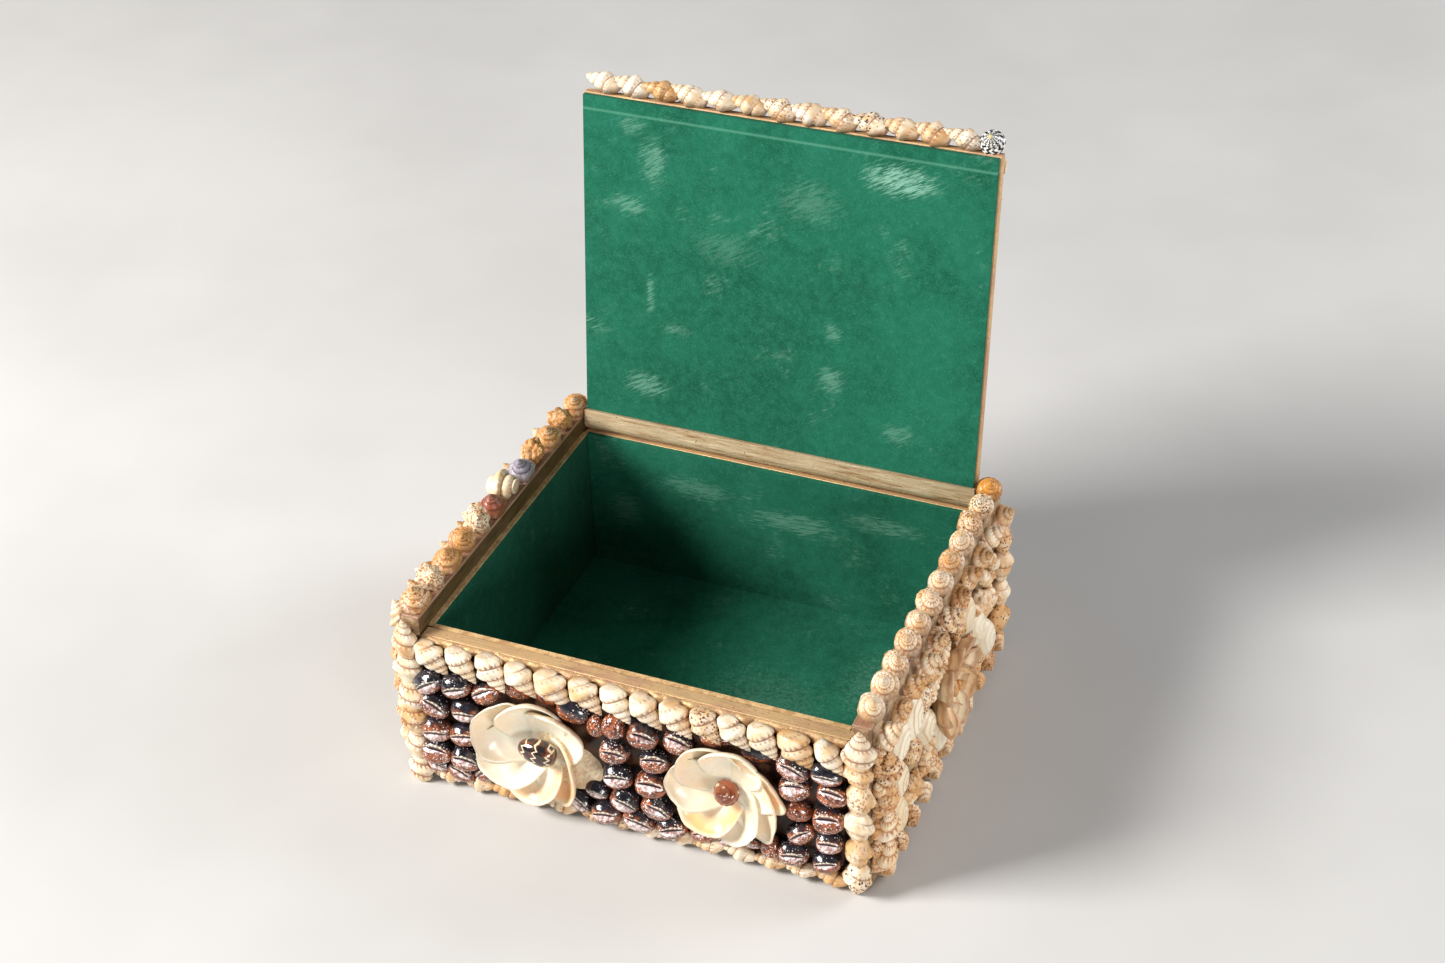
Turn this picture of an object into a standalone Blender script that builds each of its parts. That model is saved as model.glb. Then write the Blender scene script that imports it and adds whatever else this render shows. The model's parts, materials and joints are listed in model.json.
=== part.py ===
"""A wooden trinket box covered with sea shells, with a lid that turns on two pins between the side walls.

Sizes are in metres. +X is right, +Y is back and +Z is up. The origin is the middle of the wooden underside.
The lid stands open, leaning back on the edge of the back wall.
"""

import math
import random

import bmesh
import bpy
from mathutils import Matrix, Vector

# Clearances
GAP = 0.0003  # between two pieces that touch
LID_SIDE_GAP = 0.0005  # each side of the lid, between the side walls

# Wooden box
INNER_W = 0.1450  # room between the side linings
INNER_D = 0.1176  # room between the front and back linings
RIM_H = 0.0602  # top of the front and back walls
CHEEK_RISE = 0.0064  # how far the side walls stand above the rim
SIDE_T = 0.0065
FRONT_T = 0.0047
BACK_T = 0.0065
FLOOR_T = 0.0030
LINING_T = 0.0015
FLOOR_LINING_T = 0.0010
EDGE_WEAR = 0.0004  # the soft edge of every wooden piece

# Lid
LEAN = math.radians(6.4)  # how far the open lid leans back past upright
LID_LENGTH = 0.1285
RAIL_W = 0.0081  # the wooden rail along the hinge
RAIL_PROUD = 0.0008  # how far the rail stands proud of the lining
RAIL_UNDER = 0.0033  # from the pivot to the rail's face inside the box
RAIL_OVER = 0.0027  # from the pivot to the rail's outer face
RAIL_END = 0.0030  # from the pivot to the rail's rear end
LID_PANEL_T = 0.0030
PIN_R = 0.0010
PIN_IN_RAIL = 0.0070

# Shell work
BED = 0.0009  # glue and broken shell that the shells stand in
WHELK_H = 0.0062  # how far a dog whelk stands off the wood
DOVE_H = 0.0052  # how far a dark dove shell stands off the wood
CROWN_H = 0.0075  # height of the shells on top of the side walls
LID_SHELL_H = 0.0046  # how far the shells on the lid stand off it
ROW_W = 0.0108  # width of a row of dog whelks
FOOT_ROW_W = 0.0070  # width of the row that runs along the ground in front
SIDE_FOOT_ROW_W = 0.0090  # width of the bottom rows on the sides and the back
COLUMN_W = 0.0078  # width of a column on the end of a side wall
SIDE_ROW_W = 0.0120  # width of the upper row on a side
CROWN_OVER = 0.0022  # how far the crown reaches out past the wall
PEARL_W = 0.0095  # the orange shell at the rear end of the right crown
LID_ROW_H = 0.0076  # how far the front row stands off the lid's edge
LID_ROW_IN = 0.0024  # how far that row reaches inward of the pivot's plane
LID_BORDER_W = 0.0105  # width of the border rows on the lid's outer face
LID_FOOT_GAP = 0.0010  # from the rail's rear end to the first shells
NERITE_W = 0.0088  # the round shell at the right end of the lid's front row
ROW_GAP = 0.0003  # between two rows of shells
WHELK_PITCH = 0.0105
SIDE_PITCH = 0.0120  # on the upper and bottom rows of a side
CROWN_PITCH = 0.0113
LID_PITCH = 0.0108
HIDDEN_PITCH = 0.0150  # on the back and the lid's outer face
SLANT = math.radians(-50)  # a whelk's tip points down and to the right
LID_SLANT = math.radians(200)  # the tips in the lid's front row point left
ROW_SHEAR = -0.0020  # how far the seams between slanted shells lean over
COLUMN_SHELLS = 6  # in a column on the end of a side wall
SIDE_COLUMN_SHELLS = 4  # in a column on a side
BACK_COLUMN_SHELLS = 3
DARK_ROWS = 4  # rows of dark shells in front
SIDE_FIELD = (8, 3)  # large pale shells along and up a side
BACK_FIELD = (8, 2)
LID_FIELD = (7, 6)  # dark shells on the lid's outer face
FOOT_SHELL = 0.8  # height of the shells along the ground in front, as a share of the others
FIELD_SHELL = 0.9  # height of the shells in a field, as a share of those round it
BLUNT = 0.1  # how much a crown shell narrows to its tip
ROUND = 0.25  # the same for a dove shell
OVAL = 0.3  # the same for a large pale shell
SLIM = 0.5  # the same for a whelk
NOTCH = 0.11  # how deep the outline dips between two shells, as a share of the cell
UNEVEN = 0.0004  # how far a shell may lie off its place

# Flowers
PETALS = 7
ROSETTE_PETALS = 6
TWIST = 0.5  # how far the petals turn between the rim and the middle
# Places across a petal, from its free edge to where it tucks under the next
FINE_STEPS = (0.0, 0.3, 0.65, 0.96)
PLAIN_STEPS = (0.0, 0.45, 0.94)
FLOWER_H = 0.0085
LEFT_PLACE = (-0.45, 0.465)  # middle, as shares of half the inner width and of the rim's height
LEFT_R = 0.0222
RIGHT_PLACE = (0.475, 0.510)
RIGHT_R = 0.0200
ROSETTE_RISE = 0.495  # middle, as a share of the side walls' height
ROSETTE_R = 0.0175
LID_FLOWER_RISE = 0.498  # middle, as a share of the lid's length beyond the pivot
LID_FLOWER_R = 0.0240
HEART_L = 0.0115  # the shell in the middle of a flower
HEART_W = 0.0090
HEART_H = 0.0063
HEART_SEAT = 0.36  # height of the hollow's wall where that shell rests, as a share of the flower's
LEFT_HEART_TURN = math.radians(15)
RIGHT_HEART_TURN = math.radians(80)
PLAIN_TURN = 0.5  # how far the other flowers and their middles are turned
FOOT_SHARE = 0.5  # a flower's foot, as a share of its radius
RIM_RISE = 0.78  # height of a flower's rim, as a share of its whole height
HEART_SINK = 0.30  # height of the hollow in its middle, as a share of its height
HIDDEN_SHARE = 0.85  # a shell nearer to a flower's middle than this share of its radius is out of sight
FLOWER_CLEAR = 0.0012  # least room between a flower's underside and the shells below it

# Worked out from the sizes above
WALL_X = INNER_W / 2 + LINING_T + GAP  # inner face of the side walls
OUT_X = WALL_X + SIDE_T
OUT_D = FRONT_T + BACK_T + INNER_D + 2 * (LINING_T + GAP)
FRONT_Y = -OUT_D / 2
BACK_Y = OUT_D / 2
INNER_FRONT = FRONT_Y + FRONT_T + GAP + LINING_T
INNER_BACK = INNER_FRONT + INNER_D
CHEEK_H = RIM_H + CHEEK_RISE
FLOOR_TOP = FLOOR_T + GAP + FLOOR_LINING_T
LID_HALF = WALL_X - LID_SIDE_GAP
PIVOT_Z = RIM_H + GAP + RAIL_END * math.cos(LEAN) + RAIL_OVER * math.sin(LEAN)
PIVOT_Y = BACK_Y - BACK_T / 2
LID_TOP = LID_LENGTH - RAIL_END
RAIL_TOP = RAIL_W - RAIL_END
# Each flower: its place on its face, and its radius
FLOWER_LEFT = (LEFT_PLACE[0] * INNER_W / 2, LEFT_PLACE[1] * RIM_H, LEFT_R)
FLOWER_RIGHT = (RIGHT_PLACE[0] * INNER_W / 2, RIGHT_PLACE[1] * RIM_H, RIGHT_R)
ROSETTE = (0.0, ROSETTE_RISE * CHEEK_H, ROSETTE_R)
LID_FLOWER = (0.0, LID_FLOWER_RISE * LID_TOP, LID_FLOWER_R)

# Each face: its origin, and its axes along, up and out
FRONT = ((0, FRONT_Y - GAP, 0), (1, 0, 0), (0, 0, 1), (0, -1, 0))
BACK = ((0, BACK_Y + GAP, 0), (-1, 0, 0), (0, 0, 1), (0, 1, 0))
RIGHT = ((OUT_X + GAP, 0, 0), (0, 1, 0), (0, 0, 1), (1, 0, 0))
LEFT = ((-OUT_X - GAP, 0, 0), (0, -1, 0), (0, 0, 1), (-1, 0, 0))
RIGHT_CROWN = ((0, 0, CHEEK_H + GAP), (0, 1, 0), (-1, 0, 0), (0, 0, 1))
LEFT_CROWN = ((0, 0, CHEEK_H + GAP), (0, -1, 0), (1, 0, 0), (0, 0, 1))
LID_FACE = ((0, RAIL_OVER + GAP, 0), (-1, 0, 0), (0, 0, 1), (0, 1, 0))
LID_EDGE = ((0, 0, LID_TOP + GAP), (1, 0, 0), (0, 1, 0), (0, 0, 1))

MATERIALS = {
    "gold_wood": ((0.62, 0.40, 0.20), 0.45, 0.4),
    "bare_wood": ((0.42, 0.26, 0.17), 0.7, 0.0),
    "green_suede": ((0.025, 0.20, 0.12), 0.95, 0.0),
    "pin_steel": ((0.5, 0.5, 0.5), 0.35, 1.0),
    "whelk": ((0.80, 0.68, 0.50), 0.45, 0.0),
    "dark_dove": ((0.13, 0.07, 0.07), 0.2, 0.0),
    "petal": ((0.87, 0.78, 0.62), 0.25, 0.0),
    "pink_petal": ((0.72, 0.48, 0.36), 0.3, 0.0),
    "pearl": ((0.85, 0.55, 0.25), 0.25, 0.0),
}


def material(name):
    """The Principled material of that name, made once."""
    found = bpy.data.materials.get(name)
    if found:
        return found
    colour, rough, metal = MATERIALS[name]
    made = bpy.data.materials.new(name)
    made.use_nodes = True
    shader = made.node_tree.nodes["Principled BSDF"]
    shader.inputs["Base Color"].default_value = (*colour, 1)
    shader.inputs["Roughness"].default_value = rough
    shader.inputs["Metallic"].default_value = metal
    return made


def add(name, bm, finish, parent=None):
    """A named object from a bmesh, on the hinge empty if one is given."""
    mesh = bpy.data.meshes.new(name)
    bm.to_mesh(mesh)
    bm.free()
    ob = bpy.data.objects.new(name, mesh)
    bpy.context.collection.objects.link(ob)
    mesh.materials.append(material(finish))
    ob.parent = parent
    return ob


def block(name, low, high, finish, parent=None, wear=EDGE_WEAR):
    """A box between two corners, its edges softened by wear."""
    bm = bmesh.new()
    bmesh.ops.create_cube(bm, size=1)
    low, high = Vector(low), Vector(high)
    size = high - low
    bmesh.ops.transform(
        bm,
        matrix=Matrix.Translation((low + high) / 2) @ Matrix.Diagonal((*size, 1)),
        verts=bm.verts,
    )
    if wear:
        bmesh.ops.bevel(bm, geom=bm.edges, offset=wear, segments=1, affect="EDGES")
    return add(name, bm, finish, parent)


def rod(name, start, length, radius, finish, sides=12):
    """A round bar along X."""
    bm = bmesh.new()
    bmesh.ops.create_cone(
        bm, segments=sides, radius1=radius, radius2=radius, depth=length, cap_ends=True
    )
    turn = Matrix.Rotation(math.pi / 2, 4, "Y")
    middle = Vector(start) + Vector((length / 2, 0, 0))
    bmesh.ops.transform(bm, matrix=Matrix.Translation(middle) @ turn, verts=bm.verts)
    ob = add(name, bm, finish)
    ob.data.shade_smooth()
    ob.data.set_sharp_from_angle(angle=math.radians(40))
    return ob


def bore(ob, cutter):
    """Cuts the hidden cutter out of ob."""
    cutter.hide_render = True
    cutter.display_type = "WIRE"
    cut = ob.modifiers.new("bore", "BOOLEAN")
    cut.operation = "DIFFERENCE"
    cut.object = cutter


def onto(face, bm):
    """Moves a bmesh from (along, up, out) onto a face."""
    origin, along, up, out = (Vector(v) for v in face)
    turn = Matrix((along, up, out)).transposed().to_4x4()
    bmesh.ops.transform(bm, matrix=Matrix.Translation(origin) @ turn, verts=bm.verts)


def under_flowers(flowers, place, height, cell):
    """The height left for a shell of that width, beside or under the rims of the flowers."""
    for x, y, radius in flowers:
        foot = FOOT_SHARE * radius
        away = math.hypot(place[0] - x, place[1] - y) - foot
        clear = FLOWER_CLEAR + cell**2 / (8 * radius)
        room = BED + FLOWER_H * RIM_RISE * away / (radius - foot) - clear
        if away < radius + cell / 4 - foot:
            height = max(min(height, room), BED)
    return height


def relief(
    name,
    face,
    size,
    count,
    height,
    finish,
    parent=None,
    slant=None,
    taper=SLIM,
    shear=0.0,
    flowers=(),
    seed=1,
    plain=False,
):
    """Shells side by side in columns and rows, fused where they touch, on a flat back.

    size is (left, right, bottom, top) on the face and count is (columns, rows). Each shell is a dome with a
    ridge along its own axis, lower and narrower at its tip. slant is that axis, or None for any direction.
    """
    left, right, bottom, top = size
    columns, rows = count
    draw = random.Random(seed)
    wide, high = (right - left) / columns, (top - bottom) / rows
    bm = bmesh.new()

    def at(i, j):
        """A point of the net, where i and j run in half cells."""
        edge = i in (0, 2 * columns) or j in (0, 2 * rows)
        x, y = left + i * wide / 2, bottom + j * high / 2
        if i % 2 == 0 and j % 2 == 0 and edge:
            if j in (0, 2 * rows):
                y += NOTCH * high * (1 if j == 0 else -1)
            if i in (0, 2 * columns):
                x += NOTCH * wide * (1 if i == 0 else -1)
        if 0 < i < 2 * columns:
            x += shear * (j / rows - 1) * min(i, 2 * columns - i, 2) / 2
        if not edge:
            x += draw.uniform(-UNEVEN, UNEVEN)
            y += draw.uniform(-UNEVEN, UNEVEN)
            rise = height * (0.28 if i % 2 == 0 and j % 2 == 0 else 0.5)
            room = under_flowers(flowers, (x, y), max(rise, BED), max(wide, high))
            return bm.verts.new((x, y, room))
        return bm.verts.new((x, y, 0))

    net = {
        (i, j): at(i, j)
        for i in range(2 * columns + 1)
        for j in range(2 * rows + 1)
        if i % 2 == 0 or j % 2 == 0
    }
    around = [(-1, -1), (0, -1), (1, -1), (1, 0), (1, 1), (0, 1), (-1, 1), (-1, 0)]
    for i in range(1, 2 * columns, 2):
        for j in range(1, 2 * rows, 2):
            loop = [net[i + a, j + b] for a, b in around]
            angle = draw.uniform(0, 2 * math.pi) if slant is None else slant
            rise = height * draw.uniform(0.9, 1.0)
            shell_top(bm, loop, angle, rise, taper, flowers, plain)
    rim = (
        [(i, 0) for i in range(2 * columns)]
        + [(2 * columns, j) for j in range(2 * rows)]
        + [(i, 2 * rows) for i in range(2 * columns, 0, -1)]
        + [(0, j) for j in range(2 * rows, 0, -1)]
    )
    bm.faces.new([net[key] for key in reversed(rim)])
    onto(face, bm)
    return add(name, bm, finish, parent)


def shell_top(bm, loop, angle, height, taper, flowers, plain):
    """One shell inside a loop of eight points: a ring round its shoulder and a ridge of two points.

    A plain one has a ring of four, and one that a flower hides is flat.
    """
    middle = sum((v.co for v in loop), Vector()) / len(loop)
    middle.z = 0
    reach = sum((v.co - middle).to_2d().length for v in loop) / len(loop)
    if any(math.dist(middle.xy, (x, y)) < HIDDEN_SHARE * r for x, y, r in flowers):
        middle.z = BED
        centre = bm.verts.new(middle)
        for k in range(len(loop)):
            bm.faces.new((loop[k], loop[(k + 1) % len(loop)], centre))
        return
    axis = Vector((math.cos(angle), math.sin(angle), 0))
    side = Vector((-axis.y, axis.x, 0))

    def point(along, across, rise):
        place = middle + axis * along + side * across
        place.z = under_flowers(flowers, place, rise, 2 * reach)
        return bm.verts.new(place)

    ring, ends = [], []
    for k, vert in enumerate(loop):
        if plain and k % 2 == 0:
            continue
        away = vert.co - middle
        along, across = away.dot(axis), away.dot(side)
        share = 0.60 if k % 2 == 0 else 0.80
        narrow = 1 - taper * max(along / reach, 0) * 0.8
        rise = height * 0.74 * (1 - taper * 0.5 * max(along / reach, 0))
        ring.append(point(along * share, across * share * narrow, rise))
        ends.append(0 if along < 0 else 1)
    ridge = [
        point(-0.22 * reach, 0, height),
        point(0.36 * reach, 0, height * (1 - 0.4 * taper)),
    ]
    if plain:
        for k in range(len(ring)):
            side_1, corner, side_2 = (loop[(2 * k + step) % len(loop)] for step in (1, 2, 3))
            here, there = ring[k], ring[(k + 1) % len(ring)]
            bm.faces.new((side_1, corner, here))
            bm.faces.new((corner, there, here))
            bm.faces.new((corner, side_2, there))
    for k in range(len(ring)):
        n = (k + 1) % len(ring)
        if not plain:
            bm.faces.new((loop[k], loop[n], ring[n], ring[k]))
        bm.faces.new((ring[k], ring[n], ridge[ends[k]]))
        if ends[k] != ends[n]:
            bm.faces.new((ridge[ends[k]], ring[n], ridge[ends[n]]))


def flower(name, face, place, finish, parent=None, petals=PETALS, steps=FINE_STEPS, turn=0.0):
    """Petal shells that overlap like a pinwheel: a dish on a narrow foot, with a step at each petal's edge."""
    x, y, radius = place
    rings = (  # share of the radius, share of the height, how far the step shows
        (FOOT_SHARE, 0.0, 0.0),
        (1.0, RIM_RISE, 0.0),
        (0.86, 0.95, 0.22),
        (0.50, 0.62, 0.20),
        (0.20, 0.36, 0.10),
    )
    bm = bmesh.new()
    made = []
    for share, rise, step in rings:
        row = []
        for k in range(petals):
            for f in steps:
                angle = 2 * math.pi * (k + f) / petals + TWIST * (1 - share) + turn
                bulge = 1 - (0.10 * (2 * f - 0.7) ** 2 if share == 1.0 else 0)
                away = radius * share * bulge
                height = rise - step * f
                row.append(
                    bm.verts.new(
                        (
                            x + away * math.cos(angle),
                            y + away * math.sin(angle),
                            BED + GAP + FLOWER_H * max(height, 0),
                        )
                    )
                )
        made.append(row)
    centre = bm.verts.new((x, y, BED + GAP + FLOWER_H * HEART_SINK))
    n = len(made[0])
    for inner, outer in zip(made, made[1:]):
        for k in range(n):
            bm.faces.new((inner[k], inner[(k + 1) % n], outer[(k + 1) % n], outer[k]))
    for k in range(n):
        bm.faces.new((made[-1][k], made[-1][(k + 1) % n], centre))
    bm.faces.new(list(reversed(made[0])))
    onto(face, bm)
    return add(name, bm, finish, parent)


def bead(name, face, place, lift, size, finish, parent=None, turn=0.0):
    """One rounded shell, longer along turn and narrower at that end, standing lift off its face."""
    length, width, height = size
    bm = bmesh.new()
    bmesh.ops.create_uvsphere(bm, u_segments=8, v_segments=5, radius=0.5)
    bmesh.ops.rotate(bm, verts=bm.verts, matrix=Matrix.Rotation(math.pi / 2, 3, "Y"))
    for v in bm.verts:
        slim = 1 - 0.45 * max(v.co.x * 2, 0)
        v.co = Vector((v.co.x * length, v.co.y * width * slim, v.co.z * height * slim))
    bmesh.ops.rotate(bm, verts=bm.verts, matrix=Matrix.Rotation(turn, 3, "Z"))
    bmesh.ops.translate(bm, verts=bm.verts, vec=(*place, lift + height / 2))
    onto(face, bm)
    ob = add(name, bm, finish, parent)
    ob.data.shade_smooth()
    return ob


def flower_heart(name, face, place, turn, parent=None):
    """The dove shell in the middle of a flower, lying in its hollow."""
    lift = BED + GAP + FLOWER_H * HEART_SEAT + GAP
    size = (HEART_L, HEART_W, HEART_H)
    return bead(name, face, place[:2], lift, size, "dark_dove", parent, turn)


def number(length, pitch=WHELK_PITCH):
    """How many shells fill a row."""
    return max(2, round(length / pitch))


def wooden_box():
    """The floor panel and the four walls, with the pins that the lid turns on."""
    front_edge, back_edge = FRONT_Y + FRONT_T, BACK_Y - BACK_T
    block(
        "floor_panel",
        (-WALL_X + GAP, front_edge + GAP, 0),
        (WALL_X - GAP, back_edge - GAP, FLOOR_T),
        "bare_wood",
    )
    block(
        "front_wall",
        (-WALL_X + GAP, FRONT_Y, 0),
        (WALL_X - GAP, front_edge, RIM_H),
        "gold_wood",
    )
    block(
        "back_wall",
        (-WALL_X + GAP, back_edge, 0),
        (WALL_X - GAP, BACK_Y, RIM_H),
        "gold_wood",
    )
    for side, name in ((-1, "left"), (1, "right")):
        near, far = side * WALL_X, side * OUT_X
        wall = block(
            f"{name}_wall",
            (min(near, far), FRONT_Y, 0),
            (max(near, far), BACK_Y, CHEEK_H),
            "gold_wood",
        )
        inner = LID_HALF - PIN_IN_RAIL
        pin_start = inner if side > 0 else -OUT_X
        rod(
            f"{name}_hinge_pin",
            (pin_start, PIVOT_Y, PIVOT_Z),
            OUT_X - inner,
            PIN_R,
            "pin_steel",
        )
        cutter = rod(
            f"{name}_pin_hole",
            (near - SIDE_T * 2, PIVOT_Y, PIVOT_Z),
            SIDE_T * 4,
            PIN_R + GAP,
            "pin_steel",
        )
        bore(wall, cutter)


def linings():
    """Suede paper on card, on the floor and the four walls, level with the rim."""
    half = INNER_W / 2
    block(
        "floor_lining",
        (-half - LINING_T, INNER_FRONT - LINING_T, FLOOR_T + GAP),
        (half + LINING_T, INNER_BACK + LINING_T, FLOOR_TOP),
        "green_suede",
        wear=0,
    )
    low = FLOOR_TOP + GAP
    for side, name in ((-1, "left"), (1, "right")):
        near, far = side * half, side * (half + LINING_T)
        block(
            f"{name}_lining",
            (min(near, far), INNER_FRONT - LINING_T, low),
            (max(near, far), INNER_BACK + LINING_T, RIM_H),
            "green_suede",
            wear=0,
        )
    for name, near, far in (
        ("front", INNER_FRONT - LINING_T, INNER_FRONT),
        ("back", INNER_BACK, INNER_BACK + LINING_T),
    ):
        block(
            f"{name}_lining",
            (-half + GAP, near, low),
            (half - GAP, far, RIM_H),
            "green_suede",
            wear=0,
        )


def rail_outline():
    """The hinge rail's section: square at the back, where it rests, and round below, where it swings past."""
    points = []
    start, end = math.pi, math.pi + math.asin(RAIL_END / RAIL_UNDER)
    steps = 6
    for k in range(steps + 1):
        angle = start + (end - start) * k / steps
        points.append((RAIL_UNDER * math.cos(angle), RAIL_UNDER * math.sin(angle)))
    points += [(RAIL_OVER, -RAIL_END), (RAIL_OVER, RAIL_TOP), (-RAIL_UNDER, RAIL_TOP)]
    return points


def lid_boards(hinge):
    """The rail with its two pin holes, the panel above it and the green lining."""
    bm = bmesh.new()
    ends = [
        [bm.verts.new((x, y, z)) for y, z in rail_outline()]
        for x in (-LID_HALF, LID_HALF)
    ]
    n = len(ends[0])
    for k in range(n):
        m = (k + 1) % n
        bm.faces.new((ends[0][k], ends[0][m], ends[1][m], ends[1][k]))
    bm.faces.new(list(reversed(ends[0])))
    bm.faces.new(ends[1])
    bmesh.ops.recalc_face_normals(bm, faces=bm.faces)
    rail = add("lid_rail", bm, "gold_wood", hinge)
    for side, name in ((-1, "left"), (1, "right")):
        depth = PIN_IN_RAIL + GAP
        start = LID_HALF - depth if side > 0 else -LID_HALF - SIDE_T
        cutter = rod(
            f"{name}_rail_hole", (start, 0, 0), depth + SIDE_T, PIN_R + GAP, "pin_steel"
        )
        cutter.parent = hinge
        bore(rail, cutter)
    inside = RAIL_OVER - LID_PANEL_T
    block(
        "lid_panel",
        (-LID_HALF, inside, RAIL_TOP + GAP),
        (LID_HALF, RAIL_OVER, LID_TOP),
        "gold_wood",
        hinge,
    )
    block(
        "lid_lining",
        (-LID_HALF + LINING_T / 2, -RAIL_UNDER + RAIL_PROUD, RAIL_TOP + GAP),
        (LID_HALF - LINING_T / 2, inside - GAP, LID_TOP - GAP),
        "green_suede",
        hinge,
        wear=0,
    )


def front_shells():
    """Whelk rows above and below, columns on the wall ends, dark dove shells and two flowers."""
    both = (FLOWER_LEFT, FLOWER_RIGHT)
    inside = WALL_X - ROW_GAP * 2
    row_foot = RIM_H - ROW_W
    relief(
        "front_top_row",
        FRONT,
        (-inside, inside, row_foot, RIM_H),
        (number(2 * inside), 1),
        WHELK_H,
        "whelk",
        slant=SLANT,
        shear=ROW_SHEAR,
        flowers=both,
        seed=11,
    )
    relief(
        "front_bottom_row",
        FRONT,
        (-inside, inside, GAP, FOOT_ROW_W),
        (number(2 * inside), 1),
        WHELK_H * FOOT_SHELL,
        "whelk",
        slant=math.pi,
        flowers=both,
        seed=12,
        plain=True,
    )
    relief(
        "front_dark_shells",
        FRONT,
        (-inside, inside, FOOT_ROW_W + ROW_GAP, row_foot - ROW_GAP),
        (number(2 * inside), DARK_ROWS),
        DOVE_H,
        "dark_dove",
        taper=ROUND,
        flowers=both,
        seed=13,
    )
    for side, name in ((-1, "left"), (1, "right")):
        near, far = side * WALL_X, side * (WALL_X + COLUMN_W)
        relief(
            f"front_{name}_column",
            FRONT,
            (min(near, far), max(near, far), GAP, CHEEK_H),
            (1, COLUMN_SHELLS),
            WHELK_H,
            "whelk",
            slant=-math.pi / 2 * side,
            seed=14 + side,
        )
    for name, place, turn in (
        ("left", FLOWER_LEFT, LEFT_HEART_TURN),
        ("right", FLOWER_RIGHT, RIGHT_HEART_TURN),
    ):
        flower(f"front_{name}_flower", FRONT, place, "petal")
        flower_heart(f"front_{name}_flower_heart", FRONT, place, turn)


def side_shells(name, face, crown, outward):
    """One side: a crown on the wall, rows, columns, a pale field and a rosette. outward is +1 on the right."""
    # The crown stands just clear of the lid that closes between the walls.
    inner, outer = WALL_X + ROW_GAP, OUT_X + CROWN_OVER
    crown_end = BACK_Y - PEARL_W - GAP if outward > 0 else BACK_Y
    relief(
        f"{name}_crown_row",
        crown,
        (FRONT_Y, crown_end, -outer, -inner),
        (number(crown_end - FRONT_Y, CROWN_PITCH), 1),
        CROWN_H,
        "whelk",
        slant=math.pi / 2,
        taper=BLUNT,
        seed=20 + outward,
        plain=outward < 0,
    )
    if outward > 0:
        middle = (BACK_Y - PEARL_W / 2, -(inner + outer) / 2)
        bead("right_crown_pearl", crown, middle, 0, (PEARL_W, outer - inner, CROWN_H), "pearl")
    half = OUT_D / 2
    row_foot = CHEEK_H - SIDE_ROW_W
    relief(
        f"{name}_upper_row",
        face,
        (-half, half, row_foot, CHEEK_H - ROW_GAP),
        (number(OUT_D, SIDE_PITCH), 1),
        WHELK_H,
        "whelk",
        slant=SLANT,
        shear=ROW_SHEAR,
        seed=30 + outward,
        plain=outward < 0,
    )
    relief(
        f"{name}_bottom_row",
        face,
        (-half, half, GAP, SIDE_FOOT_ROW_W),
        (number(OUT_D, SIDE_PITCH), 1),
        WHELK_H,
        "whelk",
        slant=0,
        taper=ROUND,
        seed=40 + outward,
        plain=True,
    )
    low, high = SIDE_FOOT_ROW_W + ROW_GAP, row_foot - ROW_GAP
    for end, sign in (("front", -1), ("back", 1)):
        place = sign * outward
        near, far = place * half, place * (half - ROW_W)
        relief(
            f"{name}_{end}_column",
            face,
            (min(near, far), max(near, far), low, high),
            (1, SIDE_COLUMN_SHELLS),
            WHELK_H,
            "whelk",
            slant=-math.pi / 2,
            seed=50 + sign + 3 * outward,
            plain=outward < 0,
        )
    field = half - ROW_W - ROW_GAP
    relief(
        f"{name}_pale_shells",
        face,
        (-field, field, low, high),
        SIDE_FIELD,
        WHELK_H * FIELD_SHELL,
        "whelk",
        taper=OVAL,
        flowers=(ROSETTE,),
        seed=60 + outward,
        plain=True,
    )
    flower(f"{name}_rosette", face, ROSETTE, "pink_petal", None, ROSETTE_PETALS, PLAIN_STEPS, PLAIN_TURN)
    flower_heart(f"{name}_rosette_heart", face, ROSETTE, PLAIN_TURN)


def back_shells():
    """The plainer back: two rows, two columns and a field of large shells."""
    low, high = SIDE_FOOT_ROW_W, RIM_H - ROW_W
    for name, bottom, top, seed in (
        ("upper", high, RIM_H - ROW_GAP, 71),
        ("bottom", GAP, low, 72),
    ):
        relief(
            f"back_{name}_row",
            BACK,
            (-OUT_X, OUT_X, bottom, top),
            (number(2 * OUT_X, HIDDEN_PITCH), 1),
            WHELK_H,
            "whelk",
            slant=SLANT,
            seed=seed,
            plain=True,
        )
    for side, name in ((-1, "left"), (1, "right")):
        near, far = -side * OUT_X, -side * (OUT_X - ROW_W)
        relief(
            f"back_{name}_column",
            BACK,
            (min(near, far), max(near, far), low + ROW_GAP, high - ROW_GAP),
            (1, BACK_COLUMN_SHELLS),
            WHELK_H,
            "whelk",
            slant=-math.pi / 2,
            seed=73 + side,
            plain=True,
        )
    field = OUT_X - ROW_W - ROW_GAP
    relief(
        "back_pale_shells",
        BACK,
        (-field, field, low + ROW_GAP, high - ROW_GAP),
        BACK_FIELD,
        WHELK_H * FIELD_SHELL,
        "whelk",
        taper=OVAL,
        seed=76,
        plain=True,
    )


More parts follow.
